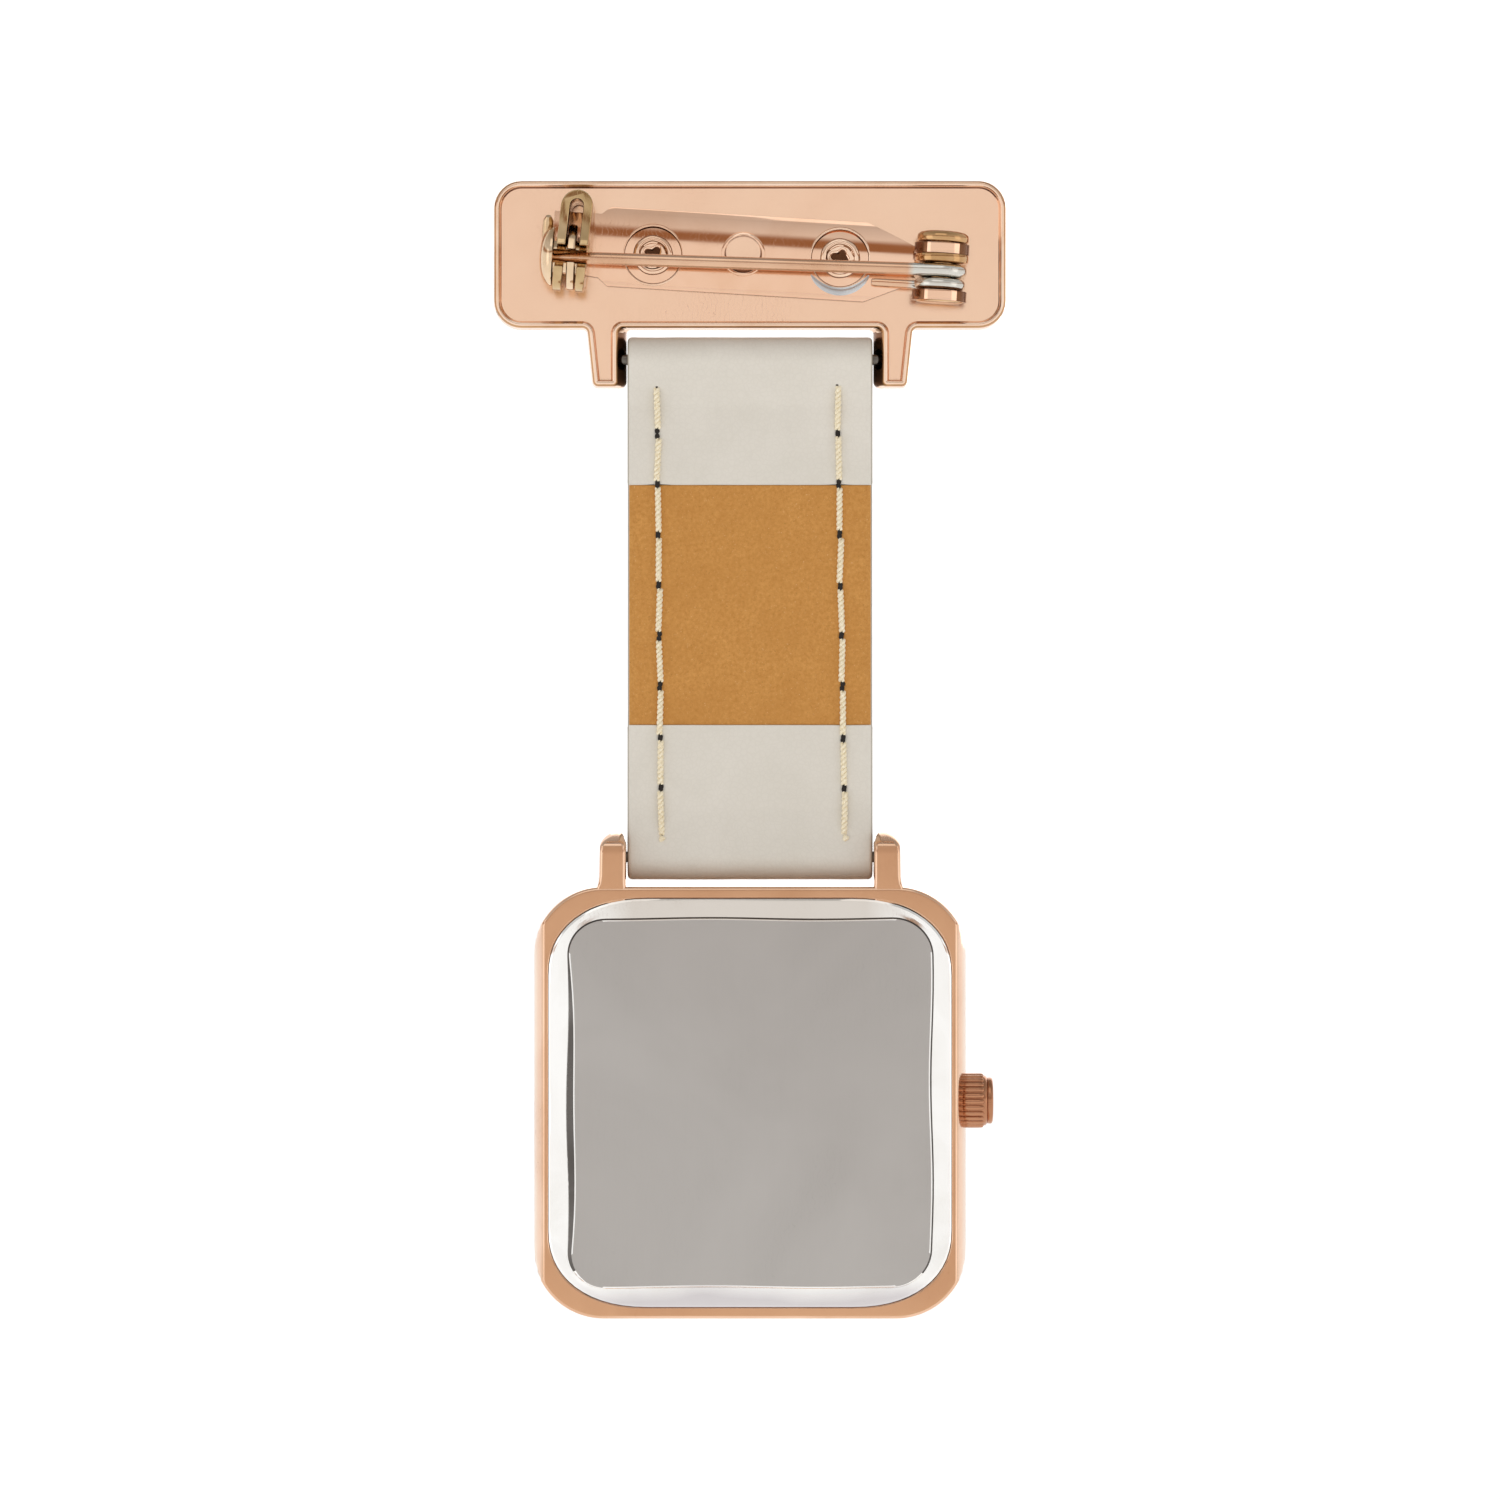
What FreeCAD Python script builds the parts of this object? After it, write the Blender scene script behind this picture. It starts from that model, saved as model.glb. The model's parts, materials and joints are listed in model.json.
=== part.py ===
import FreeCAD, Part
import math
import os

# Fob watch: a pin brooch, a leather drop strap and a square watch with a quartz movement.
# Millimetres. +Z is up as the watch hangs and the dial faces -Y. X = 0 is the middle of the strap
# and the origin lies on the axis of the brooch pin.

V = FreeCAD.Vector
X_AXIS = V(1, 0, 0)
Y_AXIS = V(0, 1, 0)
Z_AXIS = V(0, 0, 1)
ORIGIN = V(0, 0, 0)

# ---- strap ----
strap_width = 18.0
strap_thickness = 2.0
lining_thickness = 1.0
loop_wall = 0.85
bar_to_bar = 36.6
upper_flap = 9.25
lower_flap = 9.7
loop_taper = 3.4
stitch_count = 9
stitch_pitch = 3.7
stitch_length = 2.95
stitch_inset = 2.2
thread_radius = 0.22

# ---- spring bars ----
bar_radius = 0.75
bar_wall = 0.15
bar_end_wall = 0.2
bar_end_gap = 0.2
tip_radius = 0.4
tip_engagement = 0.85
tip_travel = 0.9
tip_flange_length = 0.5
loop_clearance = 0.05
tip_clearance = 0.04
spring_wire_radius = 0.09
spring_turns = 14

# ---- brooch ----
bar_axis_depth = 4.4
brooch_width = 37.8
brooch_height = 11.0
brooch_corner = 2.1
brooch_floor = 1.3
brooch_lip_height = 0.7
brooch_lip_width = 0.45
brooch_rise = 0.93
brooch_edge_to_bar = 2.2
brooch_lug_width = 2.4
brooch_lug_tip_width = 1.95
brooch_lug_length = 4.3
brooch_boss_radius = 1.55
brooch_boss_height = 0.55
lug_side_gap = 0.07

# ---- pin assembly on its base strip ----
strip_tilt = 3.5
strip_shift = 0.5
strip_sheet = 0.6
strip_half_width = 2.93
strip_left = 9.85
strip_right = 9.0
strip_tail_half_width = 1.3
strip_foot_half_width = 2.35
rivet_positions = [(7.13, -0.05), (-6.63, -0.28)]
rivet_shank_radius = 1.0
rivet_head_radius = 1.47
rivet_head_height = 0.42
rivet_dimple_radius = 0.5
rivet_dish_radius = 2.2
rivet_dish_depth = 0.25
centre_hole_radius = 1.38
centre_flange_radius = 1.6
centre_flange_height = 0.15
stem_tilt = 1.85
stem_radius = 0.46
stem_root_radius = 0.5
coil_wire_radius = 0.49
coil_mean_radius = 1.45
hinge_distance = 14.5
hinge_ear_radius = 2.0
hinge_ear_thickness = 0.75
hinge_head_height = 0.85
hinge_head_radius = 1.9
hinge_spacer_height = 0.7
hinge_rivet_radius = 0.85
coil_side_gap = 0.04
tail_wire_radius = 0.44
tail_length = 5.0
tail_rod_radius = 0.38
catch_distance = 12.45
cheek_offset = 0.83
cheek_sheet = 0.66
cheek_radius = 2.5
cheek_rise = 2.2
cheek_neck = 3.65
catch_bore_radius = 1.33
catch_mouth_half = 0.8
lock_hub_clearance = 0.08
lock_disc_radius = 2.42
lock_disc_sheet = 0.62
lock_slot_half = 0.58
lock_dome_radius = 2.0
lock_dome_height = 0.9
lock_dome_gap = 0.1
stem_taper_start = 1.6
stem_tip_length = 1.6

# ---- watch case ----
case_width = 31.8
case_height = 31.6
case_depth = 7.0
case_corner = 5.2
case_side_barrel = 0.75
case_edge_bevel = 0.15
case_edge_to_bar = 2.13
case_lug_width = 1.88
case_lug_tip = 1.9
case_lug_break = 0.96
case_lug_front_depth = 2.4
case_wall_x = 2.4
case_wall_z = 2.0
cavity_corner = 3.8
dial_depth = 4.8
dial_thickness = 0.4
dial_gap = 0.1
dial_ledge = 1.1
crystal_seat_depth = 6.05
crystal_thickness = 1.2
crystal_edge = 0.55
crystal_gasket_width = 0.35
back_seat_depth = 0.5
back_margin_x = 0.4
back_margin_z = 0.85
back_corner = 6.0
back_border = 1.8
back_plateau_corner = 2.6
back_plateau_rise = 0.55
back_gap = 0.03
back_snap_gap = 0.05
back_snap_wall = 0.8
back_snap_depth = 1.1
back_gasket_width = 0.5
back_gasket_height = 0.35
back_gasket_inset = 0.35

# ---- crown and keyless work ----
crown_radius = 2.0
crown_length = 1.85
crown_cap_radius = 1.7
crown_cap_height = 0.42
crown_stand_off = 0.2
crown_bore_radius = 1.35
crown_bore_depth = 1.2
crown_ribs = 28
crown_rib_depth = 0.12
crown_pocket_gap = 0.25
crown_pocket_depth = 0.6
crown_pull = 0.9
tube_outer_radius = 1.0
tube_inner_radius = 0.6
gasket_gap = 0.03
stem_shaft_radius = 0.5
stem_end_radius = 0.3
stem_neck_radius = 0.25
running_gap = 0.03
lever_arm = 2.2
lever_half_angle = 12.0
lever_finger_radius = 0.2
lever_width = 0.7
yoke_finger_radius = 0.15

# ---- movement ----
movement_radius = 11.6
movement_gap = 0.1
plate_thickness = 1.05
plate_pocket = 0.6
train_height = 1.3
bridge_thickness = 0.4
wheel_sheet = 0.2
level_pitch = 0.3
pivot_radius = 0.07
pivot_gap = 0.04
arbor_radius = 0.12
third_distance = 2.15
inter_distance = 2.25
rotor_distance = 1.8
minute_distance = 2.4
third_angle = 120.0
inter_angle = 250.0
battery_radius = 3.4
battery_height = 1.65
battery_place = (5.9, 1.6)
magnet_radius = 0.9
tooth_backlash = 0.86

# ---- hands, for a dial whose 12 hangs at the bottom ----
hour_angle = 304.0
minute_angle = 51.0
seconds_angle = 210.0
hour_length = 6.6
minute_length = 9.8
seconds_length = 10.4
hand_sheet = 0.12

# ---- worked out from the above ----
bar_y = -bar_axis_depth
upper_bar_z = brooch_rise - brooch_height / 2 - brooch_edge_to_bar
lower_bar_z = upper_bar_z - bar_to_bar
loop_bore = bar_radius + loop_clearance
loop_radius = loop_bore + loop_wall
strap_back = bar_y + strap_thickness / 2
strap_front = bar_y - strap_thickness / 2
lug_inner = strap_width / 2 + lug_side_gap
brooch_lug_inner = lug_inner + brooch_boss_height - 0.05
case_lug_outer = lug_inner + case_lug_width
brooch_front = strap_front
floor_y = brooch_front + brooch_floor
lip_y = floor_y + brooch_lip_height
strip_y = floor_y + strip_sheet
hinge_y = -coil_mean_radius
case_back_y = bar_y + case_depth / 2
case_front_y = case_back_y - case_depth
case_top_z = lower_bar_z - case_edge_to_bar
case_z = case_top_z - case_height / 2
dial_front_y = case_back_y - dial_depth
dial_back_y = dial_front_y + dial_thickness
plate_front_y = dial_back_y + 0.05
plate_back_y = plate_front_y + plate_thickness
pocket_y = plate_front_y + plate_pocket
bridge_front_y = plate_back_y + train_height
bridge_back_y = bridge_front_y + bridge_thickness
cavity_width = case_width - 2 * case_wall_x
cavity_height = case_height - 2 * case_wall_z
crown_face_x = -(case_width / 2 - crown_pocket_depth + crown_stand_off + 0.1)
crown_end_x = crown_face_x - crown_length
shapes = {}


# ---- small building blocks ----
def box(x0, x1, y0, y1, z0, z1):
    return Part.makeBox(x1 - x0, y1 - y0, z1 - z0, V(x0, y0, z0))


def rod_x(radius, x0, x1, y, z):
    return Part.makeCylinder(radius, x1 - x0, V(x0, y, z), X_AXIS)


def rod_y(radius, y0, y1, x, z):
    return Part.makeCylinder(radius, y1 - y0, V(x, y0, z), Y_AXIS)


def rod_z(radius, z0, z1, x, y):
    return Part.makeCylinder(radius, z1 - z0, V(x, y, z0), Z_AXIS)


def tube_y(outer, inner, y0, y1, x, z):
    return rod_y(outer, y0, y1, x, z).cut(rod_y(inner, y0 - 1, y1 + 1, x, z))


def tube_x(outer, inner, x0, x1, y, z):
    return rod_x(outer, x0, x1, y, z).cut(rod_x(inner, x0 - 1, x1 + 1, y, z))


def prism_y(points, y0, y1):
    """A flat plate whose outline is given as (x, z) points."""
    corners = [V(x, y0, z) for x, z in points]
    face = Part.Face(Part.makePolygon(corners + corners[:1]))
    return face.extrude(V(0, y1 - y0, 0))


def prism_x(points, x0, x1):
    """A bar whose section is given as (y, z) points."""
    corners = [V(x0, y, z) for y, z in points]
    face = Part.Face(Part.makePolygon(corners + corners[:1]))
    return face.extrude(V(x1 - x0, 0, 0))


def rounded_wire(width, height, corner, y, z):
    """A rounded rectangle in the plane at depth y, centred on X = 0 and the given Z."""
    half_w = width / 2
    half_h = height / 2
    bend = corner * (1 - math.cos(math.pi / 4))
    edges = []
    for sx, sz in [(1, 1), (-1, 1), (-1, -1), (1, -1)]:
        side = V(sx * half_w, y, z + sz * (half_h - corner))
        middle = V(sx * (half_w - bend), y, z + sz * (half_h - bend))
        top = V(sx * (half_w - corner), y, z + sz * half_h)
        first, last = (side, top) if sx == sz else (top, side)
        if edges:
            edges.append(Part.makeLine(edges[-1].lastVertex().Point, first))
        edges.append(Part.Arc(first, middle, last).toShape())
    edges.append(Part.makeLine(edges[-1].lastVertex().Point, edges[0].firstVertex().Point))
    return Part.Wire(edges)


def rounded_plate(width, height, corner, y0, y1, z):
    face = Part.Face(rounded_wire(width, height, corner, y0, z))
    return face.extrude(V(0, y1 - y0, 0))


def link(start, end, half_width, y0, y1):
    """A flat link with round ends between two (x, z) points."""
    dx = end[0] - start[0]
    dz = end[1] - start[1]
    length = math.hypot(dx, dz)
    bar = box(0, length, y0, y1, -half_width, half_width)
    bar = bar.fuse(rod_y(half_width, y0, y1, 0, 0))
    bar = bar.fuse(rod_y(half_width, y0, y1, length, 0))
    bar.rotate(ORIGIN, Y_AXIS, -math.degrees(math.atan2(dz, dx)))
    bar.translate(V(start[0], 0, start[1]))
    return bar


def gear(teeth, module, y0, y1, x, z, phase):
    """A flat gear: tapered teeth on a round body. phase is the angle of the first tooth."""
    pitch_radius = teeth * module / 2
    outer = pitch_radius + 0.8 * module
    root = pitch_radius - 1.05 * module
    step = 360.0 / teeth
    points = []
    for i in range(teeth):
        centre = phase + i * step
        for radius, spread in [(root, -0.34), (outer, -0.12), (outer, 0.12), (root, 0.34)]:
            angle = math.radians(centre + spread * tooth_backlash * step)
            points.append((x + radius * math.cos(angle), z + radius * math.sin(angle)))
    return prism_y(points, y0, y1)


def mesh_phase(driver_phase, driver_teeth, teeth, direction):
    """The phase that puts a tooth space of one gear on a tooth of its driver."""
    toward = direction - driver_phase
    driver_turn = toward * driver_teeth / 360.0
    offset = driver_turn - round(driver_turn)
    step = 360.0 / teeth
    return direction + 180.0 + step / 2 + offset * step


def around(distance, degrees):
    angle = math.radians(degrees)
    return (distance * math.cos(angle), case_z + distance * math.sin(angle))


def dial_direction(degrees):
    """Unit (x, z) of a dial angle, clockwise from a 12 that hangs at the bottom."""
    angle = math.radians(degrees)
    return (-math.sin(angle), -math.cos(angle))


def save(name, shape):
    shape = shape.removeSplitter() if len(shape.Solids) == 1 else shape
    shapes[name] = shape
    shape.exportStep("parts/" + name + ".step")
    state = "valid" if shape.isValid() else "NOT VALID"
    print(name, len(shape.Solids), "solids", round(shape.Volume, 3), "mm3", state)


# ---- brooch ----
def lug_block(side, inset, y0, y1):
    """One tapering lug; inset shrinks it all round to give its hollow."""
    inner = brooch_lug_inner + inset
    top = brooch_rise - brooch_height / 2
    tip = top - brooch_lug_length + inset
    points = [
        (side * inner, top + 2.0),
        (side * (brooch_lug_inner + brooch_lug_width + 0.1 - inset), top + 2.0),
        (side * (brooch_lug_inner + brooch_lug_width - inset), top),
        (side * (brooch_lug_inner + brooch_lug_tip_width - inset), tip),
        (side * inner, tip),
    ]
    lug = prism_y(points, y0, y1)
    ends = [e for e in lug.Edges if e.BoundBox.YLength > 0.1 and e.BoundBox.ZMax < tip + 0.1]
    return lug.makeFillet(0.55 - inset / 2, ends)


def make_brooch_plate():
    plate = rounded_plate(brooch_width, brooch_height, brooch_corner, brooch_front, lip_y, brooch_rise)
    hollow = rounded_plate(
        brooch_width - 2 * brooch_lip_width, brooch_height - 2 * brooch_lip_width,
        brooch_corner - brooch_lip_width, floor_y, lip_y + 1, brooch_rise,
    )
    for side in (1, -1):
        plate = plate.fuse(lug_block(side, 0, brooch_front, lip_y))
        hollow = hollow.fuse(lug_block(side, brooch_lip_width, floor_y, lip_y + 1))
    plate = plate.cut(hollow)
    for side in (1, -1):
        start, end = sorted((side * lug_inner, side * (brooch_lug_inner + 0.3)))
        boss = rod_x(brooch_boss_radius, start, end, bar_y, upper_bar_z)
        boss = boss.common(box(start, end, brooch_front, floor_y + 0.35, upper_bar_z - 3, upper_bar_z + 3))
        plate = plate.fuse(boss)
        start, end = sorted((side * (lug_inner - 0.2), side * (lug_inner + tip_engagement + 0.1)))
        plate = plate.cut(rod_x(tip_radius + tip_clearance, start, end, bar_y, upper_bar_z))
    for x, z in rivet_positions:
        plate = plate.cut(rod_y(rivet_shank_radius, floor_y - 0.5, floor_y + 1, x, brooch_rise + z))
    return plate


# ---- pin assembly: built level about its own pivot, then tilted ----
def tilt(shape):
    shape.rotate(ORIGIN, Y_AXIS, -strip_tilt)
    shape.translate(V(strip_shift, 0, brooch_rise))
    return shape


def untilt_point(x, z):
    angle = math.radians(strip_tilt)
    dx = x - strip_shift
    dz = z - brooch_rise
    return (dx * math.cos(angle) + dz * math.sin(angle), dz * math.cos(angle) - dx * math.sin(angle))


def tilt_point(p, q):
    angle = math.radians(strip_tilt)
    x = strip_shift + p * math.cos(angle) - q * math.sin(angle)
    return (x, brooch_rise + p * math.sin(angle) + q * math.cos(angle))


def stem_q(p):
    """Height of the stem's axis above the strip's middle line, at distance p along the strip."""
    p0, q0 = untilt_point(0, 0)
    return q0 - (p - p0) * math.tan(math.radians(strip_tilt - stem_tilt))


hinge_q = stem_q(-hinge_distance)
catch_q = stem_q(catch_distance)
hinge_x, hinge_z = tilt_point(-hinge_distance, hinge_q)
catch_x, catch_z = tilt_point(catch_distance, catch_q)
upper_ear_q = hinge_q + coil_wire_radius + coil_side_gap + hinge_spacer_height
tail_q = hinge_q - coil_wire_radius - coil_side_gap - tail_wire_radius - 0.02
lower_ear_q = tail_q - tail_wire_radius - coil_side_gap - hinge_ear_thickness


def make_base_strip():
    far_left = catch_distance + cheek_offset + cheek_sheet / 2 + 0.4
    far_right = -hinge_distance - 1.6
    outline = [
        (strip_left, strip_half_width),
        (-strip_right, strip_half_width),
        (-hinge_distance + hinge_ear_radius - 0.2, strip_tail_half_width),
        (far_right, strip_tail_half_width),
        (far_right, -strip_tail_half_width),
        (-hinge_distance + hinge_ear_radius - 0.2, -strip_tail_half_width),
        (-strip_right, -strip_half_width),
        (strip_left, -strip_half_width),
        (strip_left + 0.7, -strip_foot_half_width),
        (far_left, -strip_foot_half_width + 0.4),
        (far_left, strip_foot_half_width),
        (strip_left + 0.7, strip_foot_half_width),
    ]
    strip = prism_y(outline, floor_y, strip_y)
    for q in (upper_ear_q, lower_ear_q):
        ear = rod_z(hinge_ear_radius, q, q + hinge_ear_thickness, -hinge_distance, hinge_y)
        foot = box(-hinge_distance - 1.6, -hinge_distance + 1.6, floor_y, hinge_y, q, q + hinge_ear_thickness)
        strip = strip.fuse(ear.fuse(foot))
    pad = box(-hinge_distance - 1.6, -hinge_distance + 1.6, floor_y, strip_y, lower_ear_q, upper_ear_q + 0.3)
    strip = strip.fuse(pad)
    low = lower_ear_q - 1
    strip = strip.cut(rod_z(hinge_rivet_radius, low, upper_ear_q + 2, -hinge_distance, hinge_y))
    strip = strip.cut(box(-hinge_distance - 3, -hinge_distance + 3, floor_y - 1, floor_y, low, low + 9))
    strip = strip.fuse(rod_y(centre_flange_radius, strip_y - 0.1, strip_y + centre_flange_height, 0, 0))
    strip = strip.cut(rod_y(centre_hole_radius, floor_y - 1, strip_y + 1, 0, 0))
    strip = tilt(strip)
    for x, z in rivet_positions:
        middle = brooch_rise + z
        strip = strip.cut(rod_y(rivet_dish_radius, strip_y - rivet_dish_depth, strip_y + 0.5, x, middle))
        strip = strip.cut(rod_y(rivet_shank_radius, floor_y - 1, strip_y, x, middle))
    return strip


def make_strip_rivets():
    rivets = []
    seat = strip_y - rivet_dish_depth
    for x, z in rivet_positions:
        middle = brooch_rise + z
        rivet = rod_y(rivet_shank_radius, floor_y - 0.5, seat, x, middle)
        head = rod_y(rivet_head_radius, seat, seat + rivet_head_height, x, middle)
        head = head.makeFillet(0.16, [e for e in head.Edges if e.BoundBox.YMin > seat + 0.1])
        rivet = rivet.fuse(head)
        rivet = rivet.cut(rod_y(rivet_dimple_radius, seat, seat + 1, x, middle))
        rivets.append(rivet)
    return Part.makeCompound(rivets)


def make_hinge_rivet():
    low = lower_ear_q - 0.1
    high = upper_ear_q + hinge_ear_thickness
    rivet = rod_z(hinge_rivet_radius, low, high, -hinge_distance, hinge_y)
    spacer_q = hinge_q + coil_wire_radius + coil_side_gap
    spacer = rod_z(hinge_ear_radius - 0.05, spacer_q, upper_ear_q, -hinge_distance, hinge_y)
    head = rod_z(hinge_head_radius, high, high + hinge_head_height, -hinge_distance, hinge_y)
    head = head.makeFillet(0.5, [e for e in head.Edges if e.BoundBox.ZMin > high + 0.1])
    return tilt(rivet.fuse(spacer).fuse(head))


def make_spring_tail():
    coil = Part.makeTorus(coil_mean_radius, tail_wire_radius, V(-hinge_distance, hinge_y, tail_q), Z_AXIS)
    start = V(-hinge_distance, hinge_y - coil_mean_radius, tail_q)
    rod = Part.makeCylinder(tail_rod_radius, tail_length, start, X_AXIS)
    return tilt(coil.fuse(rod))


def make_catch_housing():
    edge = cheek_offset + cheek_sheet / 2
    housing = None
    for side in (1, -1):
        p0, p1 = sorted((catch_distance + side * (cheek_offset - cheek_sheet / 2), catch_distance + side * edge))
        cheek = rod_x(cheek_radius, p0, p1, 0, catch_q)
        foot = box(p0, p1, strip_y, 0, catch_q - cheek_radius + 0.6, catch_q + cheek_radius)
        neck = box(p0, p1, strip_y, cheek_rise, catch_q, catch_q + cheek_neck)
        cheek = cheek.fuse(foot).fuse(neck)
        housing = cheek if housing is None else housing.fuse(cheek)
    bend = rod_y(edge, strip_y, cheek_rise, catch_distance, catch_q + cheek_neck)
    bend = bend.cut(rod_y(cheek_offset - cheek_sheet / 2, -9, 9, catch_distance, catch_q + cheek_neck))
    keep = box(catch_distance - 3, catch_distance + 3, -9, 9, catch_q + cheek_neck, catch_q + cheek_neck + 3)
    housing = housing.fuse(bend.common(keep))
    start = catch_distance - edge - 1
    end = catch_distance + edge + 1
    housing = housing.cut(rod_x(catch_bore_radius, start, end, 0, catch_q))
    mouth = box(start, end, 0, 9, catch_q - catch_mouth_half, catch_q + catch_mouth_half)
    return tilt(housing.cut(mouth))


def make_catch_lock():
    edge = cheek_offset + cheek_sheet / 2
    dome_p = catch_distance + edge + lock_dome_gap
    hub_radius = catch_bore_radius - lock_hub_clearance
    half = lock_disc_sheet / 2
    lock = rod_x(lock_disc_radius, catch_distance - half, catch_distance + half, 0, catch_q)
    lock = lock.fuse(rod_x(hub_radius, catch_distance - edge, dome_p, 0, catch_q))
    dome = rod_x(lock_dome_radius, dome_p, dome_p + lock_dome_height, 0, catch_q)
    dome = dome.makeFillet(0.55, [e for e in dome.Edges if e.BoundBox.XMin > dome_p + 0.1])
    lock = lock.fuse(dome)
    slot_end = dome_p + lock_dome_height - 0.3
    slot = box(catch_distance - edge - 1, slot_end, 0, 9, catch_q - lock_slot_half, catch_q + lock_slot_half)
    slot = slot.fuse(rod_x(lock_slot_half, catch_distance - edge - 1, slot_end, 0, catch_q))
    return tilt(lock.cut(slot))


def make_pin_stem():
    """Coil turn, long stem and taper to the point. The stem's line passes through the origin."""
    coil = Part.makeTorus(coil_mean_radius, coil_wire_radius, V(-hinge_distance, hinge_y, hinge_q), Z_AXIS)
    coil = tilt(coil)
    angle = math.radians(stem_tilt)
    reach = V(math.cos(angle), 0, math.sin(angle))
    start = V(hinge_x, 0, hinge_z)
    full = catch_distance + hinge_distance
    neck = 2.5
    taper_from = full - cheek_offset - cheek_sheet / 2 - stem_taper_start
    root = Part.makeCone(stem_root_radius, stem_radius, neck, start, reach)
    body = Part.makeCylinder(stem_radius, taper_from - neck, start + reach * neck, reach)
    point_from = full + cheek_offset
    taper = Part.makeCone(
        stem_radius, 0.32, point_from - taper_from, start + reach * taper_from, reach
    )
    point = Part.makeCone(0.32, 0.06, stem_tip_length / 2, start + reach * point_from, reach)
    return coil.fuse(root).fuse(body).fuse(taper).fuse(point)


# ---- spring bars ----
def make_bar_tube(z):
    length = strap_width / 2 - bar_end_gap
    tube = rod_x(bar_radius, -length, length, bar_y, z)
    bore = rod_x(bar_radius - bar_wall, -length + bar_end_wall, length - bar_end_wall, bar_y, z)
    hole = rod_x(tip_radius + tip_clearance, -length - 1, length + 1, bar_y, z)
    return tube.cut(bore).cut(hole)


def make_bar_tip(side, z):
    end = lug_inner + tip_engagement - 0.05
    flange_end = strap_width / 2 - bar_end_gap - bar_end_wall - 0.1
    flange_start = flange_end - tip_flange_length
    tip = rod_x(tip_radius, flange_end - 0.05, end, bar_y, z)
    flange = rod_x(bar_radius - bar_wall - tip_clearance, flange_start, flange_end, bar_y, z)
    tip = tip.fuse(flange)
    tip = tip.makeChamfer(0.1, [e for e in tip.Edges if e.BoundBox.XMin > end - 0.01])
    if side < 0:
        tip = tip.mirror(ORIGIN, X_AXIS)
    return tip


def make_bar_spring(z):
    """The coil inside a bar, drawn at the length it has when both tips are pressed in."""
    reach = strap_width / 2 - bar_end_gap - bar_end_wall - 0.1 - tip_flange_length - tip_travel - 0.15
    mean = bar_radius - bar_wall - spring_wire_radius - 0.06
    length = 2 * (reach - spring_wire_radius)
    helix = Part.makeHelix(length / spring_turns, length, mean)
    section = Part.Wire(Part.makeCircle(spring_wire_radius, V(mean, 0, 0), Y_AXIS))
    spring = Part.Wire(helix).makePipeShell([section], True, True)
    spring.rotate(ORIGIN, Y_AXIS, 90)
    spring.translate(V(-length / 2, bar_y, z))
    return Part.Solid(spring) if not spring.Solids else spring


# ---- strap ----
def loop_outline(z, way):
    """Side view of one end: a round loop running into the flat strap. way is -1 for the upper end."""
    taper_z = z + way * loop_taper
    tangent_y = loop_radius * math.cos(math.radians(14))
    tangent_z = z + way * loop_radius * math.sin(math.radians(14))
    half = strap_thickness / 2
    points = [
        (bar_y + tangent_y, tangent_z),
        (bar_y + half, taper_z),
        (bar_y - half, taper_z),
        (bar_y - tangent_y, tangent_z),
    ]
    half_width = strap_width / 2
    wedge = prism_x(points, -half_width, half_width)
    return wedge.fuse(rod_x(loop_radius, -half_width, half_width, bar_y, z))


def make_strap(threads):
    half_width = strap_width / 2
    slab = box(
        -half_width, half_width, strap_front, strap_back, lower_bar_z + loop_taper, upper_bar_z - loop_taper
    )
    strap = slab.fuse(loop_outline(upper_bar_z, -1)).fuse(loop_outline(lower_bar_z, 1))
    for z in (upper_bar_z, lower_bar_z):
        strap = strap.cut(rod_x(loop_bore, -half_width - 1, half_width + 1, bar_y, z))
    strap = strap.cut(lining_block(0))
    return strap.cut(threads)


def lining_block(inset):
    half_width = strap_width / 2
    return box(
        -half_width - 1 + inset, half_width + 1 - inset, strap_back - lining_thickness, strap_back,
        lower_bar_z + lower_flap, upper_bar_z - upper_flap,
    )


def make_lining(threads):
    return lining_block(1).cut(threads)


def make_thread(side):
    """One saddle-stitched row: stitches on both faces joined by the thread's way through the strap."""
    x = side * (strap_width / 2 - stitch_inset)
    middle = (upper_bar_z + lower_bar_z) / 2
    gap = stitch_pitch - stitch_length
    thread = None
    for i in range(stitch_count):
        centre = middle + (i - (stitch_count - 1) / 2) * stitch_pitch
        low = centre - stitch_length / 2
        high = centre + stitch_length / 2
        for y in (strap_back, strap_front):
            piece = rod_z(thread_radius, low, high, x, y)
            thread = piece if thread is None else thread.fuse(piece)
        for z in (low, high):
            thread = thread.fuse(rod_y(thread_radius * 0.98, strap_front, strap_back, x, z))
            for y in (strap_back, strap_front):
                thread = thread.fuse(Part.makeSphere(thread_radius, V(x, y, z)))
        if i:
            thread = thread.fuse(rod_z(thread_radius * 0.8, low - gap, low, x, bar_y))
    return thread


# ---- watch case ----
def case_block():
    """The case outline through the full depth, with its long sides barrelled."""
    block = rounded_plate(case_width, case_height, case_corner, case_front_y, case_back_y, case_z)
    half = case_width / 2
    inner = half - case_side_barrel
    low = case_z - case_height
    right = Part.Arc(V(inner, case_front_y, low), V(half, bar_y, low), V(inner, case_back_y, low)).toShape()
    back = Part.makeLine(V(inner, case_back_y, low), V(-inner, case_back_y, low))
    left = Part.Arc(V(-inner, case_back_y, low), V(-half, bar_y, low), V(-inner, case_front_y, low)).toShape()
    front = Part.makeLine(V(-inner, case_front_y, low), V(inner, case_front_y, low))
    barrel = Part.Face(Part.Wire([right, back, left, front])).extrude(V(0, 0, 2 * case_height))
    block = block.common(barrel)
    rims = [e for e in block.Edges if e.BoundBox.YLength < 0.001]
    return block.makeChamfer(case_edge_bevel, rims)


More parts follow.
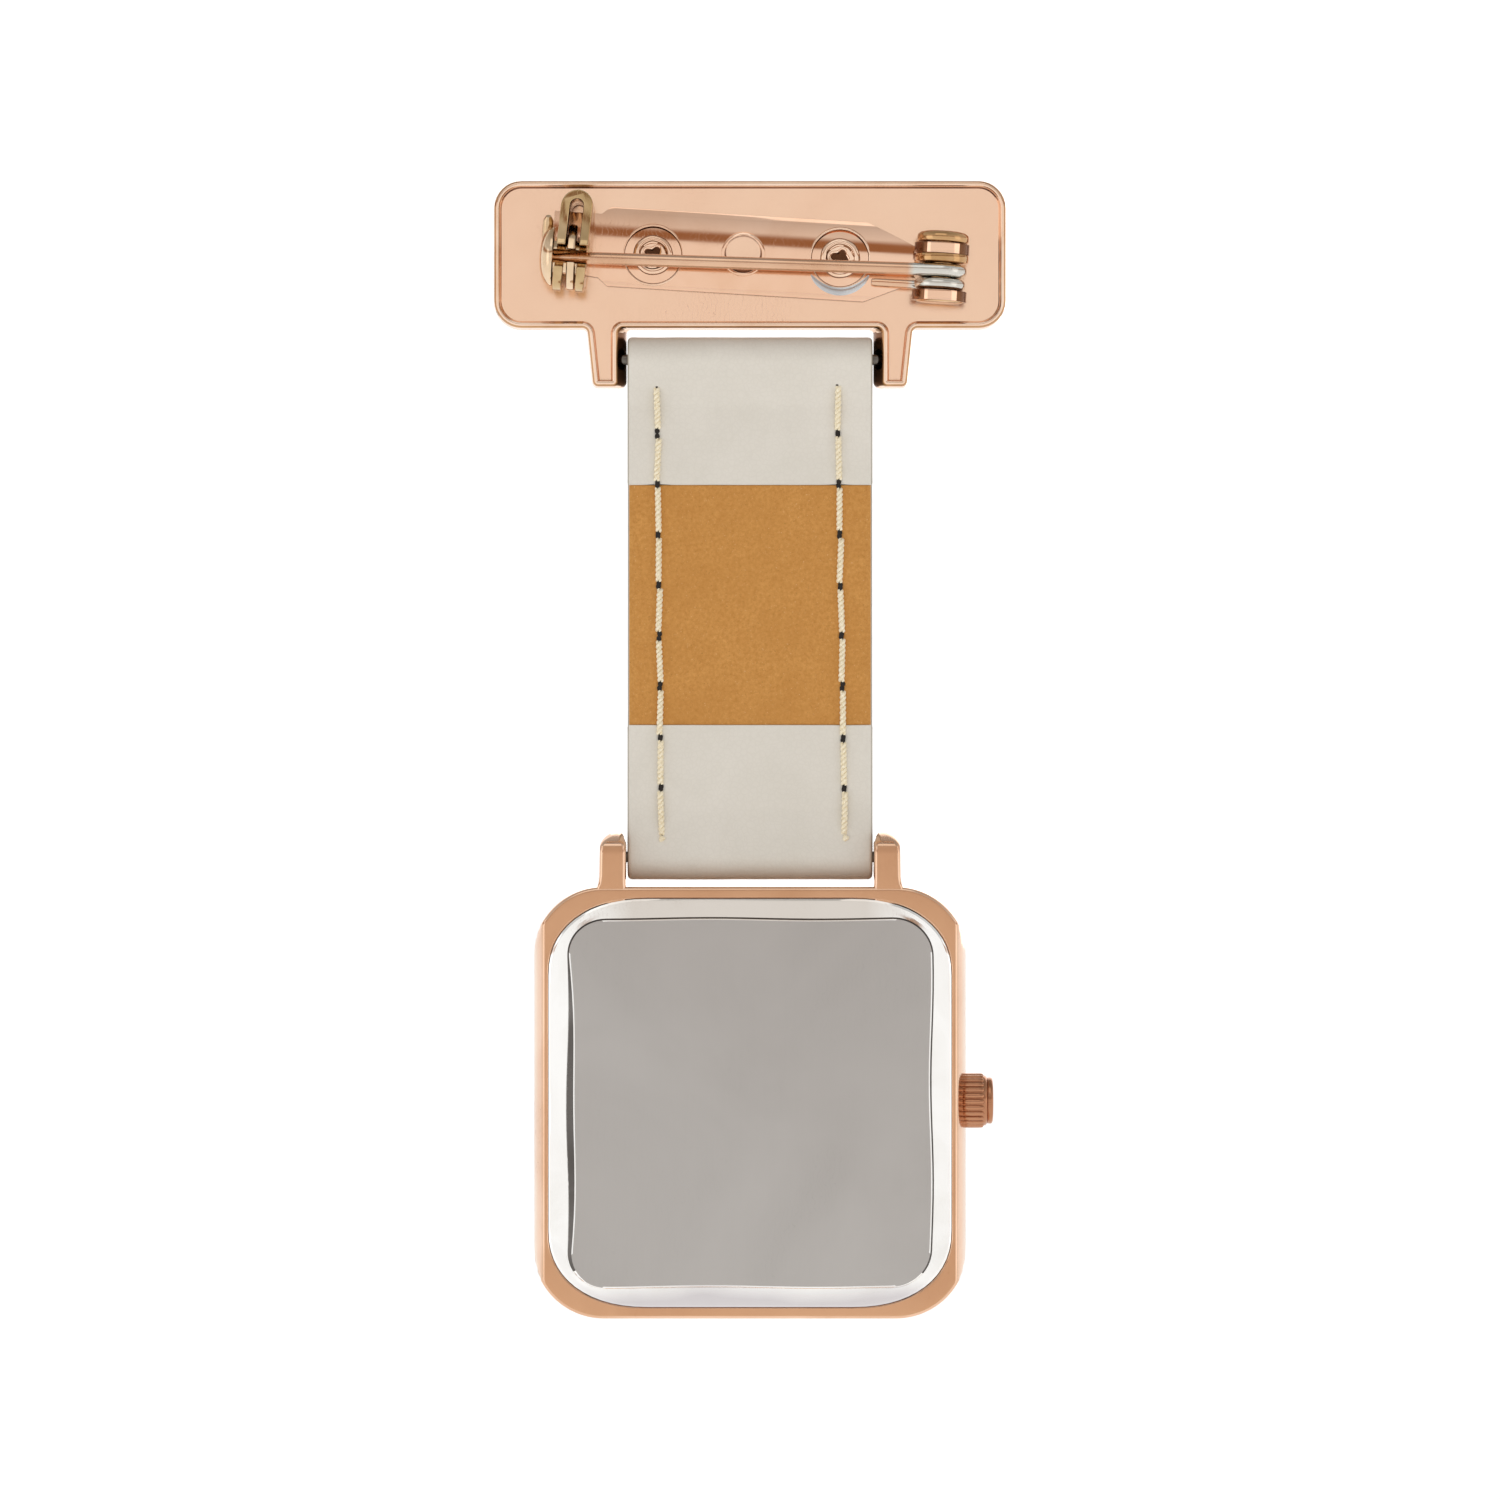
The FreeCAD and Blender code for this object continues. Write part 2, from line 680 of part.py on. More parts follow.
def case_lug(side):
    base = case_top_z - 1.5
    apex = lower_bar_z + case_lug_tip
    knee = lower_bar_z + case_lug_break
    section = [
        (case_back_y, base),
        (case_back_y, knee),
        (case_back_y - 1.4, apex - 0.2),
        (bar_y + 0.6, apex),
        (bar_y - 0.9, apex - 0.1),
        (bar_y - 2.0, knee - 0.1),
        (bar_y - case_lug_front_depth, lower_bar_z - 1.0),
        (bar_y - case_lug_front_depth - 0.5, base),
    ]
    x0, x1 = sorted((side * lug_inner, side * case_lug_outer))
    lug = prism_x(section, x0, x1)
    outer = [
        e for e in lug.Edges
        if e.BoundBox.XLength < 0.001 and abs(e.BoundBox.XMin) > case_lug_outer - 0.01
        and e.BoundBox.ZMax > lower_bar_z and e.BoundBox.ZMin > base + 0.01
    ]
    return lug.makeFillet(0.3, outer)


def make_case_body():
    body = case_block()
    for side in (1, -1):
        body = body.fuse(case_lug(side))
        start, end = sorted((side * (lug_inner - 0.2), side * (lug_inner + tip_engagement + 0.1)))
        body = body.cut(rod_x(tip_radius + tip_clearance, start, end, bar_y, lower_bar_z))
    seat_y = case_back_y - back_seat_depth
    body = body.cut(
        rounded_plate(back_width + 2 * back_gap, back_height + 2 * back_gap, back_corner, seat_y, 5, case_z)
    )
    body = body.cut(rounded_plate(cavity_width, cavity_height, cavity_corner, dial_front_y, 5, case_z))
    body = body.cut(gasket_ring(seat_y - back_gasket_height, seat_y))
    body = body.cut(
        rounded_plate(
            cavity_width - 2 * dial_ledge, cavity_height - 2 * dial_ledge, cavity_corner - 0.6, -12, 0, case_z
        )
    )
    body = body.cut(crystal_opening(case_front_y - 1, case_back_y - crystal_seat_depth))
    pocket_x = -case_width / 2 + crown_pocket_depth
    body = body.cut(rod_x(crown_radius + crown_pocket_gap, -case_width, pocket_x, bar_y, case_z))
    return body.cut(rod_x(tube_outer_radius, -case_width, 0, bar_y, case_z))


def crystal_opening(y0, y1):
    width = cavity_width - 2 * dial_ledge + 2 * (crystal_edge + crystal_gasket_width)
    height = cavity_height - 2 * dial_ledge + 2 * (crystal_edge + crystal_gasket_width)
    return rounded_plate(width, height, cavity_corner + 0.3, y0, y1, case_z)


def crystal_block(y0, y1):
    width = cavity_width - 2 * dial_ledge + 2 * crystal_edge
    height = cavity_height - 2 * dial_ledge + 2 * crystal_edge
    return rounded_plate(width, height, cavity_corner - 0.05, y0, y1, case_z)


def make_crystal():
    seat = case_back_y - crystal_seat_depth
    outer = seat - crystal_thickness
    crystal = crystal_block(outer, seat)
    rim = [e for e in crystal.Edges if e.BoundBox.YMax < outer + 0.01]
    return crystal.makeChamfer(0.25, rim)


def make_crystal_gasket():
    seat = case_back_y - crystal_seat_depth
    return crystal_opening(case_front_y, seat).cut(crystal_block(case_front_y - 1, seat + 1))


back_width = case_width - 2 * case_side_barrel - 2 * back_margin_x
back_height = case_height - 2 * back_margin_z


def gasket_ring(y0, y1):
    inner = 2 * back_gasket_inset
    outer = inner + 2 * back_gasket_width
    ring = rounded_plate(cavity_width + outer, cavity_height + outer, cavity_corner + 0.9, y0, y1, case_z)
    hole = rounded_plate(cavity_width + inner, cavity_height + inner, cavity_corner + 0.4, -9, 9, case_z)
    return ring.cut(hole)


def make_case_back():
    """Snap-on back: a sloping border up to a flat plateau, and a snap wall inside the case."""
    seat_y = case_back_y - back_seat_depth
    plateau_w = back_width - 2 * back_border
    plateau_h = back_height - 2 * back_border
    plateau_y = case_back_y + back_plateau_rise
    flange = rounded_plate(back_width, back_height, back_corner, seat_y, case_back_y, case_z)
    slope = Part.makeLoft(
        [
            rounded_wire(back_width, back_height, back_corner, case_back_y, case_z),
            rounded_wire(plateau_w, plateau_h, back_plateau_corner, plateau_y - 0.12, case_z),
        ],
        True, True,
    )
    top = rounded_plate(
        plateau_w - 0.1, plateau_h - 0.1, back_plateau_corner - 0.05, plateau_y - 0.3, plateau_y, case_z
    )
    back = flange.fuse(slope).fuse(top)
    outer_w = cavity_width - 2 * back_snap_gap
    outer_h = cavity_height - 2 * back_snap_gap
    wall = rounded_plate(outer_w, outer_h, cavity_corner, seat_y - back_snap_depth, seat_y, case_z)
    hollow = rounded_plate(
        outer_w - 2 * back_snap_wall, outer_h - 2 * back_snap_wall, cavity_corner - 0.6,
        seat_y - back_snap_depth - 1, case_back_y - 0.1, case_z,
    )
    return back.fuse(wall).cut(hollow)


def make_dial():
    dial = rounded_plate(
        cavity_width - 2 * dial_gap, cavity_height - 2 * dial_gap, cavity_corner, dial_front_y,
        dial_back_y, case_z,
    )
    return dial.cut(rod_y(hour_pipe_radius + 0.13, -9, 0, 0, case_z))


def make_dial_indices():
    """Twelve applied batons; the quarter ones are wider."""
    batons = []
    for i in range(12):
        half_width = 0.34 if i % 3 == 0 else 0.2
        baton = box(-half_width, half_width, dial_front_y - 0.14, dial_front_y, 8.9, 11.1)
        baton.rotate(ORIGIN, Y_AXIS, 180 + 30 * i)
        baton.translate(V(0, 0, case_z))
        batons.append(baton)
    return Part.makeCompound(batons)


def make_movement_ring():
    front = dial_back_y
    back = case_back_y - back_seat_depth - back_snap_depth - 0.2
    ring = rounded_plate(
        cavity_width - 2 * dial_gap, cavity_height - 2 * dial_gap, cavity_corner, front, back, case_z
    )
    ring = ring.cut(rod_y(movement_radius + movement_gap, -9, 9, 0, case_z))
    return ring.cut(rod_x(tube_outer_radius + 0.1, -case_width, 0, bar_y, case_z))


# ---- crown ----
def make_crown():
    crown = rod_x(crown_radius, crown_end_x, crown_face_x, bar_y, case_z)
    rims = [e for e in crown.Edges if e.BoundBox.XLength < 0.001]
    crown = crown.makeChamfer(0.22, rims)
    ribs = []
    for i in range(crown_ribs):
        angle = 2 * math.pi * i / crown_ribs
        y = bar_y + crown_radius * math.cos(angle)
        z = case_z + crown_radius * math.sin(angle)
        ribs.append(rod_x(crown_rib_depth, crown_end_x - 1, crown_face_x + 1, y, z))
    crown = crown.cut(Part.makeCompound(ribs))
    cap = rod_x(crown_cap_radius, crown_end_x - crown_cap_height, crown_end_x + 0.1, bar_y, case_z)
    cap = cap.makeFillet(0.15, [e for e in cap.Edges if e.BoundBox.XMax < crown_end_x - 0.2])
    crown = crown.fuse(cap)
    bore_end = crown_face_x - crown_bore_depth
    crown = crown.cut(rod_x(crown_bore_radius, bore_end, crown_face_x + 1, bar_y, case_z))
    return crown.cut(rod_x(stem_shaft_radius, bore_end - 0.3, bore_end + 1, bar_y, case_z))


def make_crown_tube():
    start = crown_face_x - crown_bore_depth + 0.35
    return tube_x(tube_outer_radius, tube_inner_radius, start, -cavity_width / 2 + 0.1, bar_y, case_z)


def make_crown_gasket():
    start = crown_face_x - crown_bore_depth
    return tube_x(
        crown_bore_radius, tube_outer_radius + gasket_gap, start + 0.4, crown_face_x - 0.1, bar_y, case_z
    )


lever_pivot_x = -(movement_radius - 1.25)
lever_finger_x = lever_pivot_x + lever_arm * math.sin(math.radians(lever_half_angle))
lever_pivot_z = case_z + lever_arm * math.cos(math.radians(lever_half_angle)) - 0.02
pinion_start_x = -(movement_radius - 3.0)
pinion_end_x = -(movement_radius - 5.4)
yoke_pivot = (-(movement_radius - 5.4), case_z - 2.7)
yoke_finger = ((pinion_start_x + pinion_end_x) / 2 - 0.15, case_z - 0.6)


def make_setting_stem():
    start = crown_face_x - crown_bore_depth - 0.3
    shoulder = pinion_start_x - 0.2
    shaft = rod_x(stem_shaft_radius, start, shoulder, bar_y, case_z)
    neck_start = lever_finger_x - lever_finger_radius - 0.25
    neck_end = lever_finger_x + lever_finger_radius + 0.25
    groove = tube_x(stem_shaft_radius + 1, stem_neck_radius, neck_start, neck_end, bar_y, case_z)
    end = rod_x(stem_end_radius, shoulder - 0.1, pinion_end_x + 0.4, bar_y, case_z)
    return shaft.cut(groove).fuse(end)


def make_sliding_pinion():
    pinion = tube_x(0.8, stem_end_radius + running_gap, pinion_start_x, pinion_end_x, bar_y, case_z)
    finger_x = yoke_finger[0]
    groove = tube_x(1.5, 0.42, finger_x - 0.35, finger_x + 0.35, bar_y, case_z)
    pinion = pinion.cut(groove)
    cuts = []
    for i in range(10):
        angle = 2 * math.pi * i / 10
        y = bar_y + 0.8 * math.cos(angle)
        z = case_z + 0.8 * math.sin(angle)
        cuts.append(rod_x(0.12, finger_x + 0.35, pinion_end_x + 1, y, z))
    return pinion.cut(Part.makeCompound(cuts))


lever_front_y = plate_front_y + 0.05
lever_back_y = lever_front_y + 0.2


def make_setting_lever():
    pivot = (lever_pivot_x, lever_pivot_z)
    finger = (lever_finger_x, case_z - 0.02)
    lever = link(pivot, finger, lever_width / 2, lever_front_y, lever_back_y)
    lever = lever.fuse(rod_y(lever_finger_radius, lever_back_y, bar_y - stem_neck_radius - 0.1, *finger))
    return lever.cut(rod_y(0.3 + running_gap, -9, 9, *pivot))


def make_yoke():
    lever = link(yoke_pivot, yoke_finger, 0.3, lever_front_y, lever_back_y)
    lever = lever.fuse(rod_y(0.5, lever_front_y, lever_back_y, *yoke_pivot))
    lever = lever.fuse(rod_y(yoke_finger_radius, lever_back_y, bar_y - 0.1, *yoke_finger))
    return lever.cut(rod_y(0.3 + running_gap, -9, 9, *yoke_pivot))


# ---- movement ----
centre = (0, case_z)
third_place = around(third_distance, third_angle)
inter_place = around(inter_distance, inter_angle)
rotor_place = around(inter_distance + rotor_distance, inter_angle)
minute_place = (-minute_distance, case_z)
battery_spot = (battery_place[0], case_z + battery_place[1])
pillar_spots = [(2.4, case_z - 2.2), (-4.2, case_z - 1.0), (0.6, case_z + 4.8)]
clip_post = (battery_place[0] + battery_radius + 0.95, case_z + battery_place[1])
coil_z = case_z - 7.8
coil_screw_spots = [(-4.8, coil_z), (2.8, coil_z)]
cannon_radius = 0.48
centre_tube_radius = 0.32
seconds_radius = 0.15
hour_pipe_radius = 0.72


def level(number):
    """Front and back depth of a wheel layer; layer 1 is nearest the train bridge."""
    back = bridge_front_y - 0.1 - (number - 1) * level_pitch
    return back - wheel_sheet, back


def make_main_plate():
    plate = rod_y(movement_radius, plate_front_y, plate_back_y, 0, case_z)
    plate = plate.cut(rod_y(2.2, plate_front_y - 1, pocket_y, 0, case_z))
    plate = plate.cut(rod_y(2.1, plate_front_y - 1, pocket_y, *minute_place))
    plate = plate.cut(rod_y(centre_tube_radius + 0.08, -9, 0, 0, case_z))
    for place in (third_place, inter_place, rotor_place):
        plate = plate.cut(rod_y(pivot_radius + pivot_gap, plate_back_y - 0.3, 0, *place))
    wide = pinion_start_x - 0.2
    plate = plate.cut(box(wide, pinion_end_x + 0.6, -9, 0, case_z - 1, case_z + 1))
    plate = plate.cut(box(-20, wide + 0.1, -9, 0, case_z - 0.62, case_z + 0.62))
    floor = lever_back_y + 0.05
    pocket = box(
        lever_pivot_x - 1.0, lever_pivot_x + 1.1, -9, floor, case_z - 0.8, lever_pivot_z + 1.0
    )
    plate = plate.cut(pocket)
    pocket = box(
        yoke_finger[0] - 0.7, yoke_pivot[0] + 0.8, -9, floor, yoke_pivot[1] - 0.8, case_z - 0.1
    )
    plate = plate.cut(pocket)
    plate = plate.cut(rod_y(battery_radius + 0.1, plate_back_y - 0.2, 0, *battery_spot))
    plate = plate.cut(box(-4.0, 2.0, plate_back_y - 0.4, 0, coil_z - 1.2, coil_z + 1.2))
    plate = plate.fuse(rod_y(0.2, lever_front_y, pocket_y + 0.1, *minute_place))
    plate = plate.fuse(rod_y(0.3, lever_front_y, floor + 0.1, lever_pivot_x, lever_pivot_z))
    plate = plate.fuse(rod_y(0.3, lever_front_y, floor + 0.1, *yoke_pivot))
    for spot in pillar_spots:
        plate = plate.fuse(rod_y(0.6, plate_back_y - 0.1, bridge_front_y, *spot))
    clip_seat = battery_back_y + 0.08
    plate = plate.fuse(rod_y(0.6, plate_back_y - 0.1, clip_seat, *clip_post))
    for spot in pillar_spots + [clip_post]:
        plate = plate.cut(rod_y(0.3, plate_back_y - 0.1, 0, *spot))
    for spot in coil_screw_spots:
        plate = plate.cut(rod_y(0.3, plate_back_y - 0.5, 0, *spot))
    return plate


battery_front_y = plate_back_y - 0.18
battery_back_y = battery_front_y + battery_height


def make_train_bridge():
    bridge = prism_y(pillar_spots, bridge_front_y, bridge_back_y)
    for spot in pillar_spots:
        bridge = bridge.fuse(rod_y(0.95, bridge_front_y, bridge_back_y, *spot))
    bridge = bridge.fuse(link(centre, rotor_place, 0.9, bridge_front_y, bridge_back_y))
    for place in (third_place, inter_place, rotor_place):
        bridge = bridge.cut(rod_y(pivot_radius + pivot_gap, -9, 9, *place))
    bridge = bridge.cut(rod_y(seconds_radius + pivot_gap, -9, 9, *centre))
    for spot in pillar_spots:
        bridge = bridge.cut(rod_y(0.3, -9, 9, *spot))
    return bridge


def arbor(place):
    start = plate_back_y - 0.2
    rod = rod_y(arbor_radius, plate_back_y + 0.05, bridge_front_y - 0.05, *place)
    return rod.fuse(rod_y(pivot_radius, start, bridge_front_y + 0.25, *place))


inter_mesh_angle = inter_angle
rotor_module = 2 * rotor_distance / (6 + 30)
inter_module = 2 * inter_distance / (6 + 36)
third_module = 2 * third_distance / (6 + 45)
centre_module = 2 * third_distance / (6 + 48)
minute_module = 2 * minute_distance / (12 + 36)
hour_module = 2 * minute_distance / (10 + 40)


def make_rotor():
    back = bridge_front_y - 0.1 - 3 * level_pitch - wheel_sheet + 0.5
    rotor = arbor(rotor_place)
    rotor = rotor.fuse(rod_y(magnet_radius, back - 0.55, back, *rotor_place))
    return rotor.fuse(gear(6, rotor_module, *level(1), *rotor_place, inter_angle + 180))


def make_intermediate_wheel():
    phase = inter_angle + 180 / 30
    wheel = arbor(inter_place).fuse(gear(30, rotor_module, *level(1), *inter_place, phase))
    return wheel.fuse(gear(6, inter_module, *level(2), *inter_place, inter_angle + 180))


def make_seconds_wheel():
    phase = inter_angle + 180 / 36
    front = seconds_hand_y - 0.05
    wheel = rod_y(seconds_radius, front, bridge_front_y + 0.25, *centre)
    wheel = wheel.fuse(gear(36, inter_module, *level(2), *centre, phase))
    return wheel.fuse(gear(6, third_module, *level(3), *centre, third_angle))


def make_third_wheel():
    phase = third_angle + 180 + 180 / 45
    wheel = arbor(third_place).fuse(gear(45, third_module, *level(3), *third_place, phase))
    return wheel.fuse(gear(6, centre_module, *level(4), *third_place, third_angle + 180))


def make_centre_wheel():
    phase = third_angle + 180 / 48
    wheel = gear(48, centre_module, *level(4), *centre, phase)
    wheel = wheel.fuse(rod_y(centre_tube_radius, pocket_y - 0.75, level(4)[0] + 0.1, *centre))
    return wheel.cut(rod_y(seconds_radius + running_gap, -9, 9, *centre))


def make_cannon_pinion():
    inner = centre_tube_radius + running_gap
    pipe = tube_y(cannon_radius, inner, minute_hand_y, pocket_y - 0.05, *centre)
    teeth = gear(12, minute_module, pocket_y - 0.28, pocket_y - 0.06, *centre, 180)
    return pipe.fuse(teeth.cut(rod_y(inner, -9, 9, *centre)))


def make_minute_wheel():
    phase = 180 / 36
    wheel = gear(36, minute_module, pocket_y - 0.26, pocket_y - 0.08, *minute_place, phase)
    pinion = gear(10, hour_module, pocket_y - 0.52, pocket_y - 0.26, *minute_place, 0)
    return wheel.fuse(pinion).cut(rod_y(0.2 + running_gap, -9, 9, *minute_place))


def make_hour_wheel():
    phase = 180 + 180 / 40
    inner = cannon_radius + running_gap
    wheel = gear(40, hour_module, pocket_y - 0.5, pocket_y - 0.34, *centre, phase)
    wheel = wheel.fuse(rod_y(hour_pipe_radius, hour_hand_y, pocket_y - 0.36, *centre))
    return wheel.cut(rod_y(inner, -9, 9, *centre))


def make_stator():
    front = plate_back_y + 0.1
    back = front + 0.5
    x, z = rotor_place
    arm_low = z - 0.8
    arm_high = z + 0.8
    stator = rod_y(1.55, front, back, x, z)
    stator = stator.fuse(box(-5.6, x, front, back, arm_low, arm_high))
    stator = stator.fuse(box(x, 3.6, front, back, arm_low, arm_high))
    for x0, x1 in [(-5.6, -4.15), (2.15, 3.6)]:
        stator = stator.fuse(box(x0, x1, front, back, coil_z - 0.6, arm_high))
    stator = stator.cut(rod_y(magnet_radius + 0.15, -9, 9, x, z))
    stator = stator.cut(rod_y(arbor_radius + 0.15, -9, 9, *inter_place))
    for spot in coil_screw_spots:
        stator = stator.cut(rod_y(0.3, -9, 9, *spot))
    return stator


def make_coil_core():
    front = plate_back_y + 0.6
    core = box(-5.6, 3.6, front, front + 0.5, coil_z - 0.6, coil_z + 0.6)
    for spot in coil_screw_spots:
        core = core.cut(rod_y(0.3, -9, 9, *spot))
    return core


def make_coil_winding():
    axis_y = plate_back_y + 0.85
    winding = rod_x(1.0, -3.8, 1.8, axis_y, coil_z)
    return winding.cut(box(-9, 9, axis_y - 0.25, axis_y + 0.25, coil_z - 0.6, coil_z + 0.6))


def make_battery():
    battery = rod_y(battery_radius, battery_front_y, battery_back_y, *battery_spot)
    rim = [e for e in battery.Edges if e.BoundBox.YMax < battery_front_y + 0.01]
    return battery.makeFillet(0.25, rim)


def make_battery_clip():
    front = battery_back_y + 0.08
    start = (battery_spot[0] - 2.2, battery_spot[1])
    clip = link(start, clip_post, 0.8, front, front + 0.2)
    return clip.cut(rod_y(0.3, -9, 9, *clip_post))


def make_circuit_board():
    low = case_z + 5.7
    outline = [(-6, low), (5, low), (5, low + 3.6), (3.2, low + 4.6), (-4.4, low + 4.6), (-6, low + 3.2)]
    return prism_y(outline, plate_back_y, plate_back_y + 0.35)


def make_quartz_can():
    return rod_x(0.75, -0.9, 4.1, plate_back_y + 0.35 + 0.75, case_z + 8.7)


def make_chip():
    start = plate_back_y + 0.35
    return box(-4.6, -2.2, start, start + 0.6, case_z + 6.9, case_z + 9.2)


def make_movement_screws():
    screws = []
    seats = [(spot, bridge_back_y, train_height + bridge_thickness) for spot in pillar_spots]
    seats.append((clip_post, battery_back_y + 0.28, 1.5))
    seats += [(spot, plate_back_y + 1.1, 1.4) for spot in coil_screw_spots]
    for spot, seat, length in seats:
        screw = rod_y(0.3, seat - length, seat, *spot)
        head = rod_y(0.52, seat, seat + 0.3, *spot)
        slot = box(spot[0] - 1, spot[0] + 1, seat + 0.16, seat + 1, spot[1] - 0.08, spot[1] + 0.08)
        screws.append(screw.fuse(head.cut(slot)))
    return Part.makeCompound(screws)


# ---- hands ----
hour_hand_y = dial_front_y - 0.5
minute_hand_y = hour_hand_y - 0.3
seconds_hand_y = minute_hand_y - 0.22


def make_hand(y, angle, length, tail, root_half, tip_half, hub, bore):
    """A flat tapering hand on a round hub, pointing at a dial angle. y is its front face."""
    points = [(-root_half, -tail), (root_half, -tail), (root_half, length * 0.55)]
    points += [(tip_half, length), (-tip_half, length), (-root_half, length * 0.55)]
    hand = prism_y(points, y, y + hand_sheet).fuse(rod_y(hub, y, y + hand_sheet, 0, 0))
    hand = hand.cut(rod_y(bore, -9, 9, 0, 0))
    hand.rotate(ORIGIN, Y_AXIS, 180 + angle)
    hand.translate(V(0, 0, case_z))
    return hand


def build():
    os.makedirs("parts", exist_ok=True)
    save("brooch_plate", make_brooch_plate())
    save("pin_base_strip", make_base_strip())
    save("base_strip_rivets", make_strip_rivets())
    save("pin_hinge_rivet", make_hinge_rivet())
    save("pin_spring_tail", make_spring_tail())
    save("catch_housing", make_catch_housing())
    save("catch_lock", make_catch_lock())
    save("pin_stem", make_pin_stem())
    for name, z in [("upper", upper_bar_z), ("lower", lower_bar_z)]:
        save(name + "_bar_tube", make_bar_tube(z))
        save(name + "_bar_spring", make_bar_spring(z))
        save(name + "_bar_tip_left", make_bar_tip(1, z))
        save(name + "_bar_tip_right", make_bar_tip(-1, z))
    thread_left = make_thread(1)
    thread_right = make_thread(-1)
    threads = Part.makeCompound([thread_left, thread_right])
    save("strap_thread_left", thread_left)
    save("strap_thread_right", thread_right)
    save("strap_leather", make_strap(threads))
    save("strap_lining", make_lining(threads))
    save("case_body", make_case_body())
    save("case_back", make_case_back())
    seat_y = case_back_y - back_seat_depth
    save("case_back_gasket", gasket_ring(seat_y - back_gasket_height, seat_y))
    save("crystal", make_crystal())
    save("crystal_gasket", make_crystal_gasket())
    save("dial", make_dial())
    save("dial_indices", make_dial_indices())
    save("movement_ring", make_movement_ring())
    save("crown", make_crown())
    save("crown_tube", make_crown_tube())
    save("crown_gasket", make_crown_gasket())
    save("setting_stem", make_setting_stem())
    save("sliding_pinion", make_sliding_pinion())
    save("setting_lever", make_setting_lever())
    save("yoke", make_yoke())
    save("main_plate", make_main_plate())
    save("train_bridge", make_train_bridge())
    save("rotor", make_rotor())
    save("intermediate_wheel", make_intermediate_wheel())
    save("seconds_wheel", make_seconds_wheel())
    save("third_wheel", make_third_wheel())
    save("centre_wheel", make_centre_wheel())
    save("cannon_pinion", make_cannon_pinion())
    save("minute_wheel", make_minute_wheel())
    save("hour_wheel", make_hour_wheel())
    save("stator", make_stator())
    save("coil_core", make_coil_core())
    save("coil_winding", make_coil_winding())
    save("battery", make_battery())
    save("battery_clip", make_battery_clip())
    save("circuit_board", make_circuit_board())
    save("quartz_can", make_quartz_can())
    save("chip", make_chip())
    save("movement_screws", make_movement_screws())
    save("hour_hand", make_hand(hour_hand_y, hour_angle, hour_length, 1.6, 0.42, 0.1, 1.05, hour_pipe_radius))
    save("minute_hand", make_hand(minute_hand_y, minute_angle, minute_length, 1.8, 0.34, 0.08, 0.85, cannon_radius))
    save("seconds_hand", make_hand(seconds_hand_y, seconds_angle, seconds_length, 2.6, 0.1, 0.05, 0.5, seconds_radius))
    print("hinge axis", round(hinge_x, 4), round(hinge_y, 4), round(hinge_z, 4))
    print("catch axis", round(catch_x, 4), 0, round(catch_z, 4))
    print("bars", bar_y, upper_bar_z, lower_bar_z, "case", case_z)
    print("lever", lever_pivot_x, lever_pivot_z, "yoke", yoke_pivot)
    print("wheels", third_place, inter_place, rotor_place, minute_place)


build()
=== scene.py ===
import json
import math
import random
import bpy
import bmesh
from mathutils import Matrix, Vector, noise
from mathutils.geometry import tessellate_polygon


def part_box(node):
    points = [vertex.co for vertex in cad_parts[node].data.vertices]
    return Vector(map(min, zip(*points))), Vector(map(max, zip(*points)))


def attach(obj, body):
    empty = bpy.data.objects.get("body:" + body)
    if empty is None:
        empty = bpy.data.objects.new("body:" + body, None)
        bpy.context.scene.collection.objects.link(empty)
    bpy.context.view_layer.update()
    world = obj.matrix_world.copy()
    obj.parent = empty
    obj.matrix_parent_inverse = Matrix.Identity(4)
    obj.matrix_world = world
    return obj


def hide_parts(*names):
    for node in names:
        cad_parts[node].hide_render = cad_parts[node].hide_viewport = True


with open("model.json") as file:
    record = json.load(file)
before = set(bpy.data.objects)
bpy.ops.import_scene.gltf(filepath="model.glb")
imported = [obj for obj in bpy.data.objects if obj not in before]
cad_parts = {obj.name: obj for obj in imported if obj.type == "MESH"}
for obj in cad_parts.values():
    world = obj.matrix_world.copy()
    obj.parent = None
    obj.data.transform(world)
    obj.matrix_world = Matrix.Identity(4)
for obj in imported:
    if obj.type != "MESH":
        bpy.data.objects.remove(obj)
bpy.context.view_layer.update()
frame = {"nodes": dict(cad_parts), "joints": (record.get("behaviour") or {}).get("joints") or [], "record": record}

mm = 0.001
cadNodes = frame["nodes"]
record = frame["record"]
jointNamed = {j["name"]: j for j in frame["joints"]}
print("frame loaded:", len(cadNodes), "nodes")


def nodeBox(name):
    low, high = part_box(name)
    return [v / mm for v in low], [v / mm for v in high]


def jointPlace(name):
    return Vector(jointNamed[name]["pos_m"]) / mm, Vector(jointNamed[name]["axis"]).normalized()


def addObject(name, data):
    thing = bpy.data.objects.new(name, data)
    bpy.context.scene.collection.objects.link(thing)
    return thing


# The camera and the lights come first, because the finishes are judged under them.
view = {"distance": 490.0, "lens": 160.0, "height": -35.5, "planeDepth": -3.6, "lampAim": (0, 0, -36)}


def makeCamera():
    data = bpy.data.cameras.new("viewCamera")
    data.lens = view["lens"]
    data.sensor_width = 36.0
    data.clip_start = 0.01
    camera = addObject("viewCamera", data)
    camera.location = (0, (view["distance"] + view["planeDepth"]) * mm, view["height"] * mm)
    camera.rotation_euler = (math.radians(90), 0, math.radians(180))
    bpy.context.scene.camera = camera


lamps = [
    # name, place mm, size mm, watts, colour
    ("topSoftbox", (60, 330, 420), (420, 300), 0.24, (1.0, 0.99, 0.97)),
    ("leftSoftbox", (430, 200, -20), (260, 420), 0.16, (0.98, 0.99, 1.0)),
    ("rightSoftbox", (-450, 180, 20), (240, 420), 0.14, (1.0, 0.98, 0.96)),
    ("frontSoftbox", (-120, -460, 120), (380, 380), 0.4, (1.0, 1.0, 1.0)),
]


